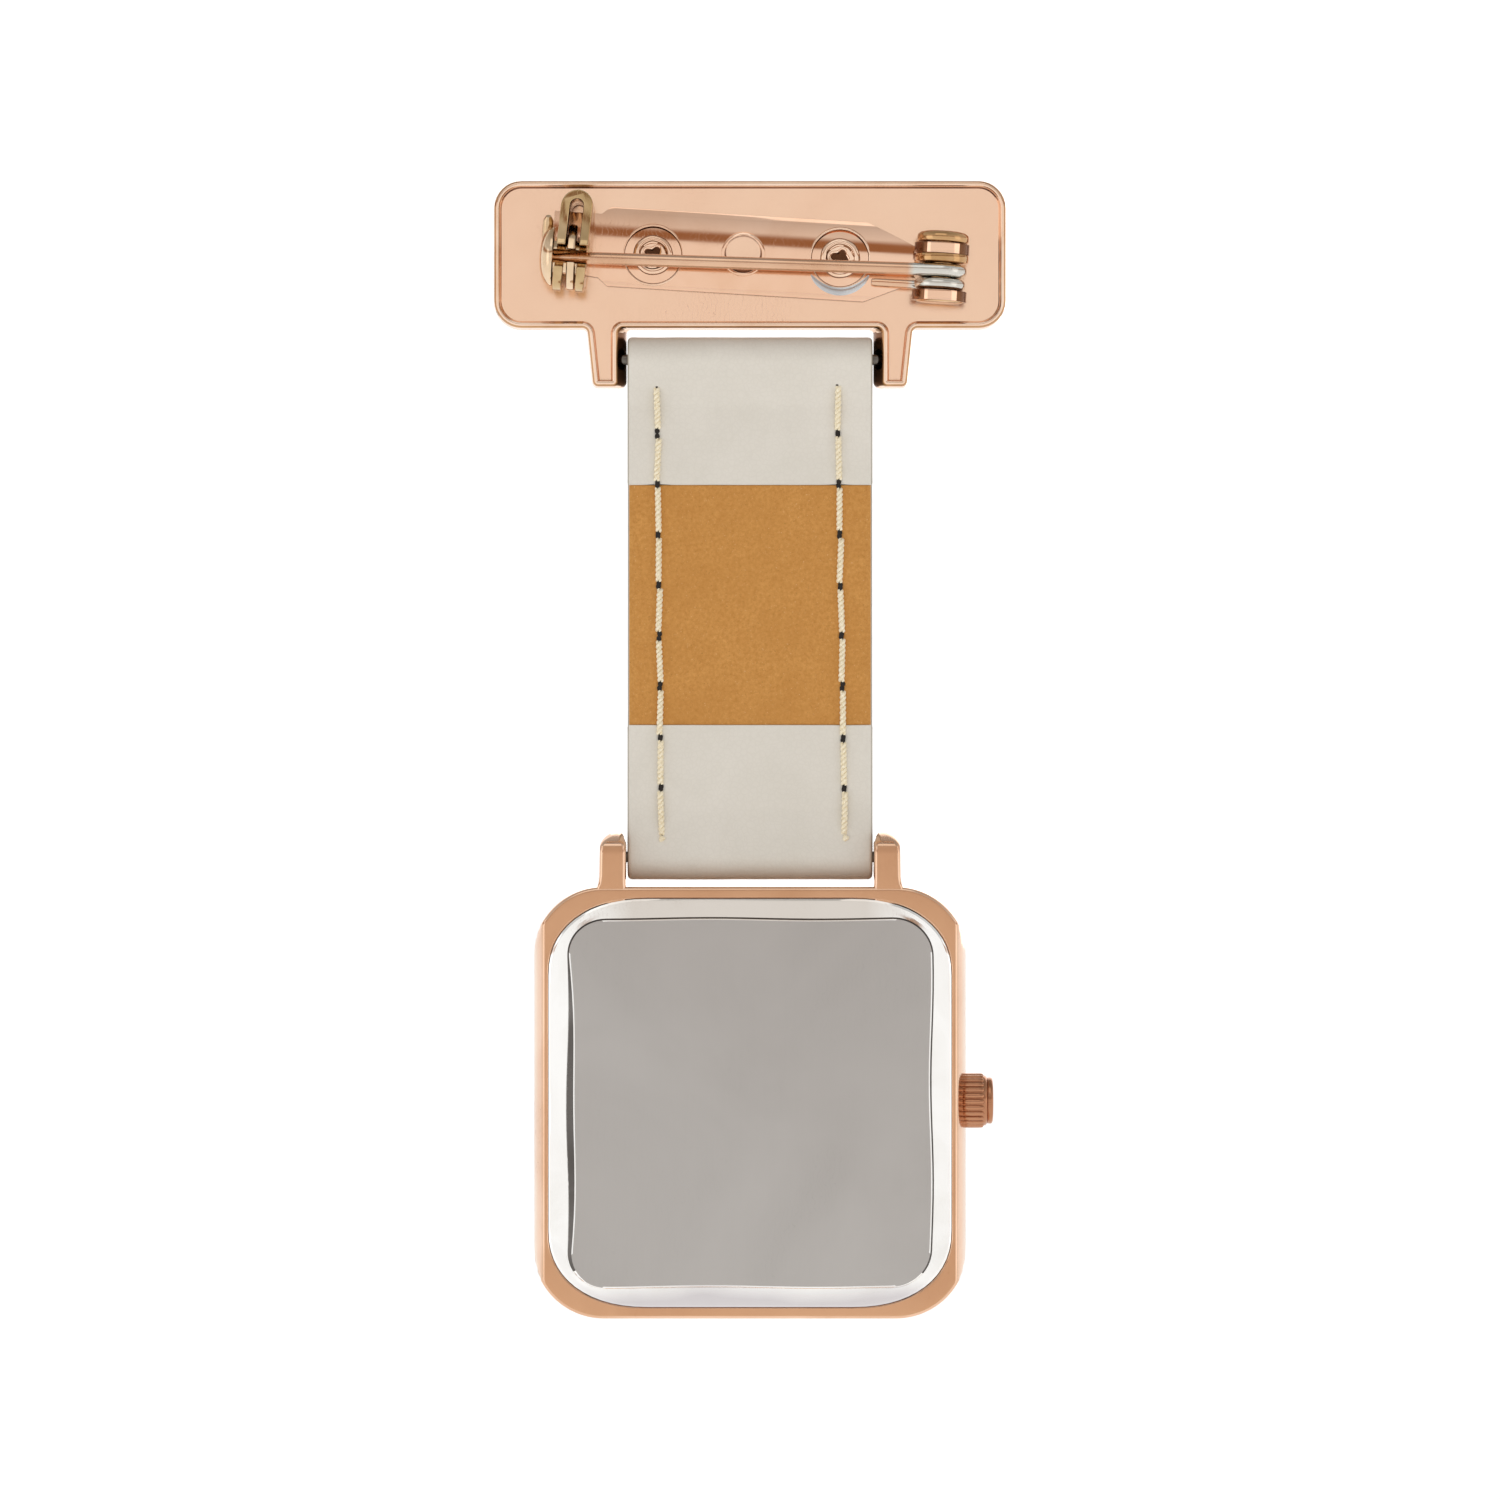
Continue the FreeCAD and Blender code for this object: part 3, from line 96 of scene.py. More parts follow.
def makeLamps():
    for name, place, size, watts, colour in lamps:
        data = bpy.data.lights.new(name, "AREA")
        data.shape = "RECTANGLE"
        data.size, data.size_y = size[0] * mm, size[1] * mm
        data.energy = watts
        data.color = colour
        lamp = addObject(name, data)
        lamp.location = Vector(place) * mm
        toward = Vector(view["lampAim"]) * mm - lamp.location
        lamp.rotation_euler = toward.to_track_quat("-Z", "Y").to_euler()


airLook = {
    "bandColour": (0.33, 0.165, 0.08, 1), "bandBelow": 0.3,
    # share of the way up from straight down, brightness
    "stops": [(0.0, 0.8), (0.25, 0.6), (0.45, 1.0), (0.5, 1.0), (0.575, 0.97), (0.592, 0.9), (0.602, 0.16),
              (0.638, 0.14), (0.66, 0.8), (0.725, 0.62), (0.8, 0.66), (0.93, 0.5), (1.0, 0.42)],
}


def makeWorld():
    world = bpy.data.worlds.new("studioAir")
    bpy.context.scene.world = world
    world.use_nodes = True
    tree = world.node_tree
    tree.nodes.clear()
    out = tree.nodes.new("ShaderNodeOutputWorld")
    air = tree.nodes.new("ShaderNodeBackground")
    ramp = tree.nodes.new("ShaderNodeValToRGB")
    split = tree.nodes.new("ShaderNodeSeparateXYZ")
    place = tree.nodes.new("ShaderNodeTexCoord")
    shift = tree.nodes.new("ShaderNodeMath")
    shift.operation = "MULTIPLY_ADD"
    shift.inputs[1].default_value = 0.5
    shift.inputs[2].default_value = 0.5
    tree.links.new(place.outputs["Generated"], split.inputs[0])
    tree.links.new(split.outputs["Z"], shift.inputs[0])
    tree.links.new(shift.outputs[0], ramp.inputs[0])
    tree.links.new(ramp.outputs[0], air.inputs["Color"])
    tree.links.new(air.outputs[0], out.inputs[0])
    # A dark warm band stands a little above the horizon and shows as the brown streak in the pin strip.
    stops = airLook["stops"]
    ramp.color_ramp.elements[0].position = stops[0][0]
    ramp.color_ramp.elements[1].position = stops[-1][0]
    for position, value in stops[1:-1]:
        ramp.color_ramp.elements.new(position)
    for element, (position, value) in zip(ramp.color_ramp.elements, stops):
        clear = (value, value * 0.99, value * 0.98, 1)
        element.color = clear if value > airLook["bandBelow"] else airLook["bandColour"]
    air.inputs["Strength"].default_value = 1.0


makeCamera()
makeLamps()
makeWorld()
bpy.context.scene.view_settings.view_transform = "Standard"
print("camera and lights ready")


# Finishes
def fromHex(text):
    values = []
    for i in (1, 3, 5):
        v = int(text[i:i + 2], 16) / 255
        values.append(v / 12.92 if v <= 0.04045 else ((v + 0.055) / 1.055) ** 2.4)
    return (*values, 1.0)


def newGroup(name, inputs, outputs):
    group = bpy.data.node_groups.new(name, "ShaderNodeTree")
    for label, kind, default in inputs:
        socket = group.interface.new_socket(name=label, in_out="INPUT", socket_type=kind)
        if default is not None:
            socket.default_value = default
    for label, kind in outputs:
        group.interface.new_socket(name=label, in_out="OUTPUT", socket_type=kind)
    start = group.nodes.new("NodeGroupInput")
    end = group.nodes.new("NodeGroupOutput")
    return group, start, end


def addNode(tree, kind, links=None, **values):
    node = tree.nodes.new(kind)
    for key, value in values.items():
        setattr(node, key, value)
    for socket, source in (links or {}).items():
        if isinstance(source, bpy.types.NodeSocket):
            tree.links.new(source, node.inputs[socket])
        else:
            node.inputs[socket].default_value = source
    return node


def mathNode(tree, operation, a, b=0.0, c=None):
    links = {0: a, 1: b}
    if c is not None:
        links[2] = c
    return addNode(tree, "ShaderNodeMath", links, operation=operation).outputs[0]


def remap(tree, value, low, high, toLow=0.0, toHigh=1.0):
    node = addNode(
        tree, "ShaderNodeMapRange",
        {"Value": value, "From Min": low, "From Max": high, "To Min": toLow, "To Max": toHigh},
    )
    return node.outputs["Result"]


def noiseNode(tree, vector, scale, detail=3.0, rough=0.5, distortion=0.0):
    node = addNode(
        tree, "ShaderNodeTexNoise",
        {"Vector": vector, "Scale": scale, "Detail": detail, "Roughness": rough, "Distortion": distortion},
    )
    return node.outputs["Fac"]


def mixColour(tree, factor, first, second):
    # Sockets 0, 6 and 7 are a colour mix's factor and its two colours.
    return addNode(tree, "ShaderNodeMix", {0: factor, 6: first, 7: second}, data_type="RGBA").outputs[2]


def objectAxes(tree):
    where = tree.nodes.new("ShaderNodeTexCoord").outputs["Object"]
    return where, addNode(tree, "ShaderNodeSeparateXYZ", {0: where})


def makeMetalGroup():
    group, start, end = newGroup(
        "metalSurface",
        [
            ("Vector", "NodeSocketVector", None),
            ("Grain Scale", "NodeSocketFloat", 900.0),
            ("Stretch", "NodeSocketVector", (1.0, 1.0, 1.0)),
            ("Smudge Scale", "NodeSocketFloat", 160.0),
        ],
        [("Grain", "NodeSocketFloat"), ("Smudge", "NodeSocketFloat"), ("Scratch", "NodeSocketFloat")],
    )
    place = addNode(
        group, "ShaderNodeVectorMath", {0: start.outputs["Vector"], 1: start.outputs["Stretch"]},
        operation="MULTIPLY",
    ).outputs[0]
    grain = noiseNode(group, place, start.outputs["Grain Scale"], 4.0, 0.6)
    smudge = noiseNode(group, start.outputs["Vector"], start.outputs["Smudge Scale"], 4.0, 0.55, 0.6)
    waves = addNode(
        group, "ShaderNodeTexWave",
        {"Vector": start.outputs["Vector"], "Scale": 900.0, "Distortion": 14.0, "Detail": 3.0},
    ).outputs["Fac"]
    scratch = mathNode(group, "MULTIPLY", remap(group, waves, 0.965, 1.0), remap(group, smudge, 0.45, 0.62))
    group.links.new(grain, end.inputs["Grain"])
    group.links.new(smudge, end.inputs["Smudge"])
    group.links.new(scratch, end.inputs["Scratch"])
    return group


def makeHideGroup():
    group, start, end = newGroup(
        "hideSurface",
        [("Vector", "NodeSocketVector", None), ("Pore Scale", "NodeSocketFloat", 2600.0)],
        [("Height", "NodeSocketFloat"), ("Blotch", "NodeSocketFloat"), ("Pore", "NodeSocketFloat")],
    )
    vector = start.outputs["Vector"]
    warp = addNode(
        group, "ShaderNodeTexNoise", {"Vector": vector, "Scale": 900.0, "Detail": 2.0}
    ).outputs["Color"]
    shifted = addNode(
        group, "ShaderNodeVectorMath", {0: warp, 1: (0.0006, 0.0006, 0.0006), 2: vector},
        operation="MULTIPLY_ADD",
    ).outputs[0]
    cells = addNode(
        group, "ShaderNodeTexVoronoi", {"Vector": shifted, "Scale": start.outputs["Pore Scale"]},
        feature="DISTANCE_TO_EDGE",
    ).outputs["Distance"]
    creases = remap(group, cells, 0.0, 0.16)
    fine = noiseNode(group, vector, 5200.0, 4.0, 0.6)
    blotch = noiseNode(group, vector, 190.0, 5.0, 0.6, 0.4)
    height = mathNode(group, "MULTIPLY_ADD", fine, 0.5, mathNode(group, "MULTIPLY", creases, 0.6))
    group.links.new(height, end.inputs["Height"])
    group.links.new(blotch, end.inputs["Blotch"])
    group.links.new(creases, end.inputs["Pore"])
    return group


metalGroup = makeMetalGroup()
hideGroup = makeHideGroup()


def startMaterial(name, colour, roughness, metallic=0.0, **more):
    material = bpy.data.materials.new(name)
    material.use_nodes = True
    tree = material.node_tree
    shader = tree.nodes["Principled BSDF"]
    shader.inputs["Base Color"].default_value = fromHex(colour)
    shader.inputs["Roughness"].default_value = roughness
    shader.inputs["Metallic"].default_value = metallic
    for label, value in more.items():
        shader.inputs[label.replace("_", " ")].default_value = value
    place = tree.nodes.new("ShaderNodeTexCoord").outputs["Object"]
    return material, tree, shader, place


def addBump(tree, shader, height, strength, distance):
    bump = addNode(
        tree, "ShaderNodeBump", {"Height": height, "Strength": strength, "Distance": distance * mm}
    )
    tree.links.new(bump.outputs["Normal"], shader.inputs["Normal"])


def metal(name, colour, second, roughness, spread=0.08, grain=900.0, stretch=(1, 1, 1),
          bump=0.0006, smudge=160.0):
    material, tree, shader, place = startMaterial(name, colour, roughness, 1.0)
    surface = addNode(tree, "ShaderNodeGroup", node_tree=metalGroup)
    tree.links.new(place, surface.inputs["Vector"])
    surface.inputs["Grain Scale"].default_value = grain
    surface.inputs["Stretch"].default_value = stretch
    surface.inputs["Smudge Scale"].default_value = smudge
    tint = mixColour(tree, remap(tree, surface.outputs["Smudge"], 0.38, 0.66), fromHex(colour), fromHex(second))
    tree.links.new(tint, shader.inputs["Base Color"])
    mixed = mathNode(tree, "MULTIPLY_ADD", surface.outputs["Grain"], 0.5,
                     mathNode(tree, "MULTIPLY", surface.outputs["Smudge"], 0.5))
    rough = remap(tree, mixed, 0.3, 0.7, max(roughness - spread, 0.02), roughness + spread)
    rough = mathNode(tree, "MULTIPLY_ADD", surface.outputs["Scratch"], 0.15, rough)
    tree.links.new(rough, shader.inputs["Roughness"])
    addBump(tree, shader, surface.outputs["Grain"], 1.0, bump)
    return material


roseMirror = metal("roseMirror", "#F0CBAF", "#EFC7AA", 0.16, 0.03, 900.0, (1, 1, 1), 0.00003, 60.0)
roseLipHighlight = metal("roseLipHighlight", "#F6DAC4", "#ECC8AC", 0.12, 0.04, 1500.0)
roseSatin = metal("roseSatin", "#D6A681", "#CF9E79", 0.38, 0.05, 3000.0, (1, 1, 1), 0.0012, 90.0)
rosePolish = metal("rosePolish", "#EBC6AA", "#DFB595", 0.13, 0.05, 700.0, (1, 1, 1), 0.0005, 120.0)
stripRose = metal("stripRose", "#F1C9AD", "#E9BD9E", 0.07, 0.04, 900.0, (0.2, 1, 1), 0.00012, 120.0)
lipFlankShade = metal("lipFlankShade", "#C79A70", "#AE8059", 0.16, 0.05, 1500.0)
lipShade = metal("lipShade", "#8A5F43", "#6E4830", 0.2, 0.06, 1500.0)
stepShade = metal("stepShade", "#6B6764", "#5A5653", 0.3, 0.06, 1500.0)
rivetRose = metal("rivetRose", "#F2D2B8", "#E0B596", 0.13, 0.05, 1500.0)
hingeRose = metal("hingeRose", "#D9B184", "#B98F60", 0.1, 0.05, 1500.0)
oliveBrass = metal("oliveBrass", "#D2B58C", "#B4966A", 0.14, 0.06, 1800.0, (1, 1, 0.2), 0.0012, 300.0)
lockBrass = metal("lockBrass", "#E9CEAE", "#C9A983", 0.14, 0.06, 1800.0)
wireSteel = metal("wireSteel", "#D8D3CB", "#C4B294", 0.14, 0.06, 1200.0, (0.1, 1, 1), 0.0006)
solderGrey = metal("solderGrey", "#C9CACB", "#A9A9AA", 0.32, 0.1, 2400.0, (1, 1, 1), 0.006)
rivetSteel = metal("rivetSteel", "#D6D2CA", "#BDB7AE", 0.15, 0.06, 1500.0)
backSatin = metal("backSatin", "#B9B5B1", "#B4B0AC", 0.4, 0.04, 2600.0, (1, 1, 0.06), 0.0012, 60.0)
copperPlate = metal("copperPlate", "#B98464", "#A57254", 0.22, 0.07, 1600.0)
plainSteel = metal("plainSteel", "#B4B2AE", "#9D9B97", 0.28, 0.08, 1600.0)
barSteel = metal("barSteel", "#7C766F", "#655F59", 0.3, 0.08, 1600.0)
splitShade = metal("splitShade", "#5B3A26", "#3F281A", 0.3, 0.1, 2400.0)
stampedBrass = metal("stampedBrass", "#C8AA66", "#B6954F", 0.3, 0.08, 1800.0)
windingCopper = metal("windingCopper", "#B86F45", "#9F5B35", 0.3, 0.06, 900.0, (12, 1, 1), 0.004)
handGold = metal("handGold", "#D2A183", "#BE8A6B", 0.2, 0.06, 1600.0)


wireWear = {"from": -11.2, "to": -11.7, "bare": "#D3D0C8"}


def wearWire():
    # The rose plating is worn off where the wire runs into the spring.
    material = metal("roseWire", "#DFB89A", "#D2A686", 0.15, 0.05, 1200.0, (0.1, 1, 1), 0.0006)
    tree = material.node_tree
    shader = tree.nodes["Principled BSDF"]
    plate = shader.inputs["Base Color"].links[0].from_socket
    where, split = objectAxes(tree)
    ragged = noiseNode(tree, where, 900.0, 3.0)
    edge = mathNode(tree, "MULTIPLY_ADD", ragged, 0.0006, split.outputs["X"])
    bare = remap(tree, edge, wireWear["from"] * mm, wireWear["to"] * mm)
    tree.links.new(mixColour(tree, bare, plate, fromHex(wireWear["bare"])), shader.inputs["Base Color"])
    return material


# Colours and edges of the painted shade on the case back's polished border.
borderShadeLook = {
    "violet": "#CFCACC", "violetFrom": -73.2, "violetTo": -74.6,
    "grey": "#D6CEC5", "greyFrom": 2.2, "greyTo": 1.2,  # below the case back's upper edge
    "greyEnd": 11.5, "greyFull": 8.5,  # half width
}


def paintBorderShade():
    # The polished border is painted with shade: a little violet along its lower edge and greyer along the upper one,
    # where its reflection darkens.
    look = borderShadeLook
    edgeZ = nodeBox("case_back")[1][2]
    material = metal("backPolishShade", "#FDFCFA", "#F4F2EE", 0.1, 0.04, 900.0)
    tree = material.node_tree
    shader = tree.nodes["Principled BSDF"]
    polish = shader.inputs["Base Color"].links[0].from_socket
    where, split = objectAxes(tree)
    cloud = noiseNode(tree, where, 130.0, 2.0)
    edge = mathNode(tree, "MULTIPLY_ADD", cloud, 0.0022, split.outputs["Z"])
    low = remap(tree, edge, look["violetFrom"] * mm, look["violetTo"] * mm, 0.0, 0.85)
    colour = mixColour(tree, low, polish, fromHex(look["violet"]))
    high = remap(tree, edge, (edgeZ - look["greyFrom"]) * mm, (edgeZ - look["greyTo"]) * mm, 0.0, 0.9)
    out = mathNode(tree, "ABSOLUTE", split.outputs["X"])
    high = mathNode(tree, "MULTIPLY", high, remap(tree, out, look["greyEnd"] * mm, look["greyFull"] * mm))
    tree.links.new(mixColour(tree, high, colour, fromHex(look["grey"])), shader.inputs["Base Color"])
    return material


roseWire = wearWire()
backPolishShade = paintBorderShade()
print("metals ready")


def leatherFinish():
    material, tree, shader, place = startMaterial(
        "greyLeather", "#CFC9BC", 0.55, 0.0, Specular_IOR_Level=0.4, Coat_Weight=0.0
    )
    hide = addNode(tree, "ShaderNodeGroup", node_tree=hideGroup)
    tree.links.new(place, hide.inputs["Vector"])
    blotch = remap(tree, hide.outputs["Blotch"], 0.3, 0.75)
    colour = mixColour(tree, blotch, fromHex("#E1DCD2"), fromHex("#DAD5CA"))
    pores = mathNode(tree, "SUBTRACT", 1.0, hide.outputs["Pore"])
    colour = mixColour(tree, mathNode(tree, "MULTIPLY", pores, 0.08), colour, fromHex("#B4AD9F"))
    split = addNode(tree, "ShaderNodeSeparateXYZ", {0: place})
    side = remap(tree, mathNode(tree, "ABSOLUTE", split.outputs["X"]), 8.86 * mm, 8.97 * mm)
    colour = mixColour(tree, mathNode(tree, "MULTIPLY", side, 0.85), colour, fromHex("#8F8676"))
    tree.links.new(colour, shader.inputs["Base Color"])
    tree.links.new(remap(tree, hide.outputs["Blotch"], 0.3, 0.7, 0.42, 0.52), shader.inputs["Roughness"])
    addBump(tree, shader, hide.outputs["Height"], 1.0, 0.005)
    return material


def nubuckFinish():
    material, tree, shader, place = startMaterial(
        "tanNubuck", "#C68B4C", 0.85, 0.0, Specular_IOR_Level=0.2, Sheen_Weight=0.25, Sheen_Roughness=0.5
    )
    nap = noiseNode(tree, place, 4200.0, 5.0, 0.75)
    brush = noiseNode(tree, place, 260.0, 4.0, 0.6, 0.8)
    colour = mixColour(tree, remap(tree, nap, 0.3, 0.7), fromHex("#BA7F3B"), fromHex("#D69D56"))
    colour = mixColour(tree, remap(tree, brush, 0.35, 0.7, 0.0, 0.5), colour, fromHex("#BD833F"))
    fleck = noiseNode(tree, place, 9000.0, 2.0, 0.5)
    colour = mixColour(tree, remap(tree, fleck, 0.68, 0.76, 0.0, 0.55), colour, fromHex("#E6C48E"))
    colour = mixColour(tree, remap(tree, fleck, 0.33, 0.26, 0.0, 0.5), colour, fromHex("#8A5A26"))
    tree.links.new(colour, shader.inputs["Base Color"])
    addBump(tree, shader, nap, 1.0, 0.03)
    return material


def threadFinish():
    material, tree, shader, place = startMaterial(
        "creamThread", "#E9DDBE", 0.6, 0.0, Sheen_Weight=0.2, Sheen_Roughness=0.4
    )
    fibre = noiseNode(tree, place, 6000.0, 3.0, 0.6)
    colour = mixColour(tree, remap(tree, fibre, 0.3, 0.7), fromHex("#E6D6B0"), fromHex("#FFF7E0"))
    tree.links.new(colour, shader.inputs["Base Color"])
    addBump(tree, shader, fibre, 1.0, 0.02)
    return material


def glassFinish():
    material, tree, shader, place = startMaterial(
        "clearCrystal", "#F4F8F8", 0.02, 0.0, Transmission_Weight=1.0, IOR=1.46
    )
    haze = noiseNode(tree, place, 80.0, 3.0)
    tree.links.new(remap(tree, haze, 0.3, 0.7, 0.01, 0.035), shader.inputs["Roughness"])
    return material


def plain(name, colour, second, roughness, scale=1400.0, bump=0.004, **more):
    material, tree, shader, place = startMaterial(name, colour, roughness, 0.0, **more)
    spots = noiseNode(tree, place, scale, 4.0, 0.6)
    colour = mixColour(tree, remap(tree, spots, 0.3, 0.7), fromHex(colour), fromHex(second))
    tree.links.new(colour, shader.inputs["Base Color"])
    rough = remap(tree, spots, 0.3, 0.7, roughness - 0.05, roughness + 0.07)
    tree.links.new(rough, shader.inputs["Roughness"])
    addBump(tree, shader, spots, 1.0, bump)
    return material


greyLeather = leatherFinish()
tanNubuck = nubuckFinish()
creamThread = threadFinish()
clearCrystal = glassFinish()
blackSeal = plain("blackSeal", "#161616", "#202020", 0.7)
dialWhite = plain("dialWhite", "#F0EDE6", "#EAE6DD", 0.45, 900.0, 0.001)
printGrey = plain("printGrey", "#3A3532", "#2E2A28", 0.5)
spacerWhite = plain("spacerWhite", "#E6E6E2", "#DCDCD8", 0.45)
boardGreen = plain("boardGreen", "#1C5638", "#184A30", 0.4)
chipBlack = plain("chipBlack", "#121212", "#1A1A1A", 0.5)
needleHoleShade = plain("needleHoleShade", "#1A1512", "#221B16", 0.8)
print("soft and moulded finishes ready")


# Mesh helpers
def meshPiece(name, points, faces, materials, smooth=40.0):
    mesh = bpy.data.meshes.new(name)
    mesh.from_pydata([Vector(p) * mm for p in points], [], faces)
    mesh.validate()
    for material in materials:
        mesh.materials.append(material)
    piece = addObject(name, mesh)
    shadeSmooth(mesh, smooth)
    return piece


def shadeSmooth(mesh, angle=40.0):
    mesh.polygons.foreach_set("use_smooth", [True] * len(mesh.polygons))
    mesh.set_sharp_from_angle(angle=math.radians(angle))


def place(piece, body, slotName, *nodes):
    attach(piece, body)
    if nodes:
        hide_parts(*nodes)
    return piece


def mergedCopy(node):
    # A node's loose triangles are merged, and its flat faces are made whole again.
    work = bmesh.new()
    work.from_mesh(cadNodes[node].data)
    bmesh.ops.remove_doubles(work, verts=work.verts, dist=0.002 * mm)
    bmesh.ops.dissolve_limit(work, angle_limit=math.radians(0.4), verts=work.verts, edges=work.edges)
    return work


def roundEdges(work, width, angle, segments=2):
    limit = math.radians(angle)
    sharp = [e for e in work.edges if len(e.link_faces) == 2 and e.calc_face_angle(0) > limit]
    bmesh.ops.bevel(work, geom=sharp, offset=width * mm, offset_type="OFFSET", segments=segments,
                    profile=0.5, affect="EDGES", clamp_overlap=True)


def finishMesh(work, name, materials, smooth=35.0):
    mesh = bpy.data.meshes.new(name)
    for face in work.faces:
        face.material_index = 0
    work.to_mesh(mesh)
    work.free()
    for material in materials:
        mesh.materials.append(material)
    piece = addObject(name, mesh)
    shadeSmooth(mesh, smooth)
    return piece


def softened(node, name, width, materials, segments=2):
    work = mergedCopy(node)
    roundEdges(work, width, 30.0, segments)
    return finishMesh(work, name, materials)


def filletedLoop(corners, inset, steps=8):
    count = len(corners)
    lines = []
    for i in range(count):
        a = Vector(corners[i][:2])
        b = Vector(corners[(i + 1) % count][:2])
        along = (b - a).normalized()
        normal = Vector((-along.y, along.x))
        lines.append((a + normal * inset, along))
    points = []
    for i in range(count):
        (p, u), (q, v) = lines[i - 1], lines[i]
        cross = u.x * v.y - u.y * v.x
        t = ((q - p).x * v.y - (q - p).y * v.x) / cross
        corner = p + u * t
        radius = corners[i][2] - inset if cross > 0 else corners[i][2] + inset
        radius = max(radius, 0.02)
        turn = math.acos(max(-1, min(1, u.dot(v))))
        reach = radius * math.tan(turn / 2)
        side = 1 if cross > 0 else -1
        centre = corner - u * reach + Vector((-u.y, u.x)) * radius * side
        first = corner - u * reach - centre
        for s in range(steps + 1):
            angle = side * turn * s / steps
            c, d = math.cos(angle), math.sin(angle)
            points.append(centre + Vector((first.x * c - first.y * d, first.x * d + first.y * c)))
    return points


def stackLoops(loops, closeStart=True, closeEnd=True, flip=False):
    points = [p for loop in loops for p in loop]
    size = len(loops[0])
    faces = []
    for i in range(len(loops) - 1):
        for j in range(size):
            k = (j + 1) % size
            faces.append((i * size + j, i * size + k, (i + 1) * size + k, (i + 1) * size + j))
    if closeStart:
        faces.append(tuple(reversed(range(size))))
    if closeEnd:
        faces.append(tuple(range((len(loops) - 1) * size, len(loops) * size)))
    if flip:
        faces = [tuple(reversed(f)) for f in faces]
    return points, faces


def lathe(profile, centre, axis, steps=48, ripple=None):
    axis = Vector(axis).normalized()
    side = axis.orthogonal().normalized()
    up = axis.cross(side)
    loops = []
    for index, (radius, height) in enumerate(profile):
        ring = []
        for s in range(steps):
            angle = 2 * math.pi * s / steps
            r = radius + (ripple(index, angle) if ripple else 0)
            ring.append(Vector(centre) + axis * height + (side * math.cos(angle) + up * math.sin(angle)) * r)
        loops.append(ring)
    return stackLoops(loops)


def joinParts(parts):
    points, faces = [], []
    for somePoints, someFaces in parts:
        base = len(points)
        points += list(somePoints)
        faces += [tuple(i + base for i in f) for f in someFaces]
    return points, faces


def sweep(path, radii, sides=20):
    path = [Vector(p) for p in path]
    tangents = []
    for i in range(len(path)):
        a = path[max(i - 1, 0)]
        b = path[min(i + 1, len(path) - 1)]
        tangents.append((b - a).normalized())
    side = tangents[0].orthogonal().normalized()
    loops = []
    for i, tangent in enumerate(tangents):
        if i:
            turn = tangents[i - 1].rotation_difference(tangent)
            side = turn @ side
        side = (side - tangent * side.dot(tangent)).normalized()
        up = tangent.cross(side)
        ring = []
        for s in range(sides):
            angle = 2 * math.pi * s / sides
            ring.append(path[i] + (side * math.cos(angle) + up * math.sin(angle)) * radii[i])
        loops.append(ring)
    return stackLoops(loops)


def outward(piece):
    work = bmesh.new()
    work.from_mesh(piece.data)
    bmesh.ops.recalc_face_normals(work, faces=work.faces)
    work.to_mesh(piece.data)
    work.free()
    return piece


# Brooch
brooch = {
    "height": 11.0, "corner": 2.1, "lugTip": 0.5, "lugRoot": 0.3, "lugOuterRoot": 12.05, "lugOuterTip": 11.6,
    "flank": (8, 9, 10),  # stations on the lip's outer side
    # inset from the outline, depth, half gap between the lugs
    "stations": [
        (0.5, -5.40, 9.09), (0.4, -5.40, 9.09), (0.30, -5.40, 9.09), (0.12, -5.37, 9.09), (0.03, -5.28, 9.09),
        (0.0, -5.1, 9.09), (0.0, -4.8, 9.10), (0.05, -4.2, 9.27), (0.09, -3.72, 9.52), (0.12, -3.56, 9.58),
        (0.17, -3.46, 9.6), (0.24, -3.41, 9.61), (0.34, -3.4, 9.62), (0.42, -3.41, 9.62), (0.47, -3.44, 9.62),
        (0.5, -3.52, 9.62), (0.52, -3.66, 9.62), (0.54, -3.9, 9.62), (0.57, -4.04, 9.62), (0.62, -4.1, 9.62),
        (0.68, -4.1, 9.62), (0.74, -4.1, 9.62),
    ],
}


def broochCorners(inner):
    low, high = nodeBox("brooch_plate")
    halfW, top, tip = high[0], high[2], low[2]
    bottom = top - brooch["height"]
    corner, tipR, rootR = brooch["corner"], brooch["lugTip"], brooch["lugRoot"]
    outer, outerTip = brooch["lugOuterRoot"], brooch["lugOuterTip"]
    return [
        (halfW, bottom, corner), (halfW, top, corner), (-halfW, top, corner), (-halfW, bottom, corner),
        (-outer, bottom, rootR), (-outerTip, tip, tipR), (-inner, tip, tipR), (-inner, bottom, rootR),
        (inner, bottom, rootR), (inner, tip, tipR), (outerTip, tip, tipR), (outer, bottom, rootR),
    ]


def makeBrooch():
    loops = []
    for inset, y, inner in brooch["stations"]:
        loops.append([Vector((p.x, y, p.y)) for p in filletedLoop(broochCorners(inner), inset)])
    points, faces = stackLoops(loops, flip=True)
    piece = meshPiece("broochTray", points, faces, [roseMirror, roseLipHighlight, lipShade, lipFlankShade], 50.0)
    outward(piece)
    floor = brooch["stations"][-1][1]
    bottom = nodeBox("brooch_plate")[1][2] - brooch["height"]
    for polygon in piece.data.polygons:
        centre = polygon.center / mm
        # The raised lip gets a lighter rose than the floor: a painted highlight for its bright crest.
        polygon.material_index = 1 if centre.y > floor + 0.03 else 0
        underTop = polygon.normal.z < -0.4 and floor + 0.02 < centre.y < -3.6 and centre.z > bottom + 1
        betweenLugs = abs(centre.x) < 9.75 and centre.z < bottom - 0.2 and centre.y < -3.56
        if underTop or betweenLugs and abs(polygon.normal.x) > 0.6:
            polygon.material_index = 2
        # The lip's outer flank is painted a darker gold-brown: painted shade that draws the tray's edge line.
        elif polygon.index // len(loops[0]) in brooch["flank"] and len(polygon.vertices) == 4:
            polygon.material_index = 3
    shadeSmooth(piece.data, 50.0)
    return place(piece, "brooch", "brooch_metal", "brooch_plate")


makeBrooch()
print("brooch tray ready")


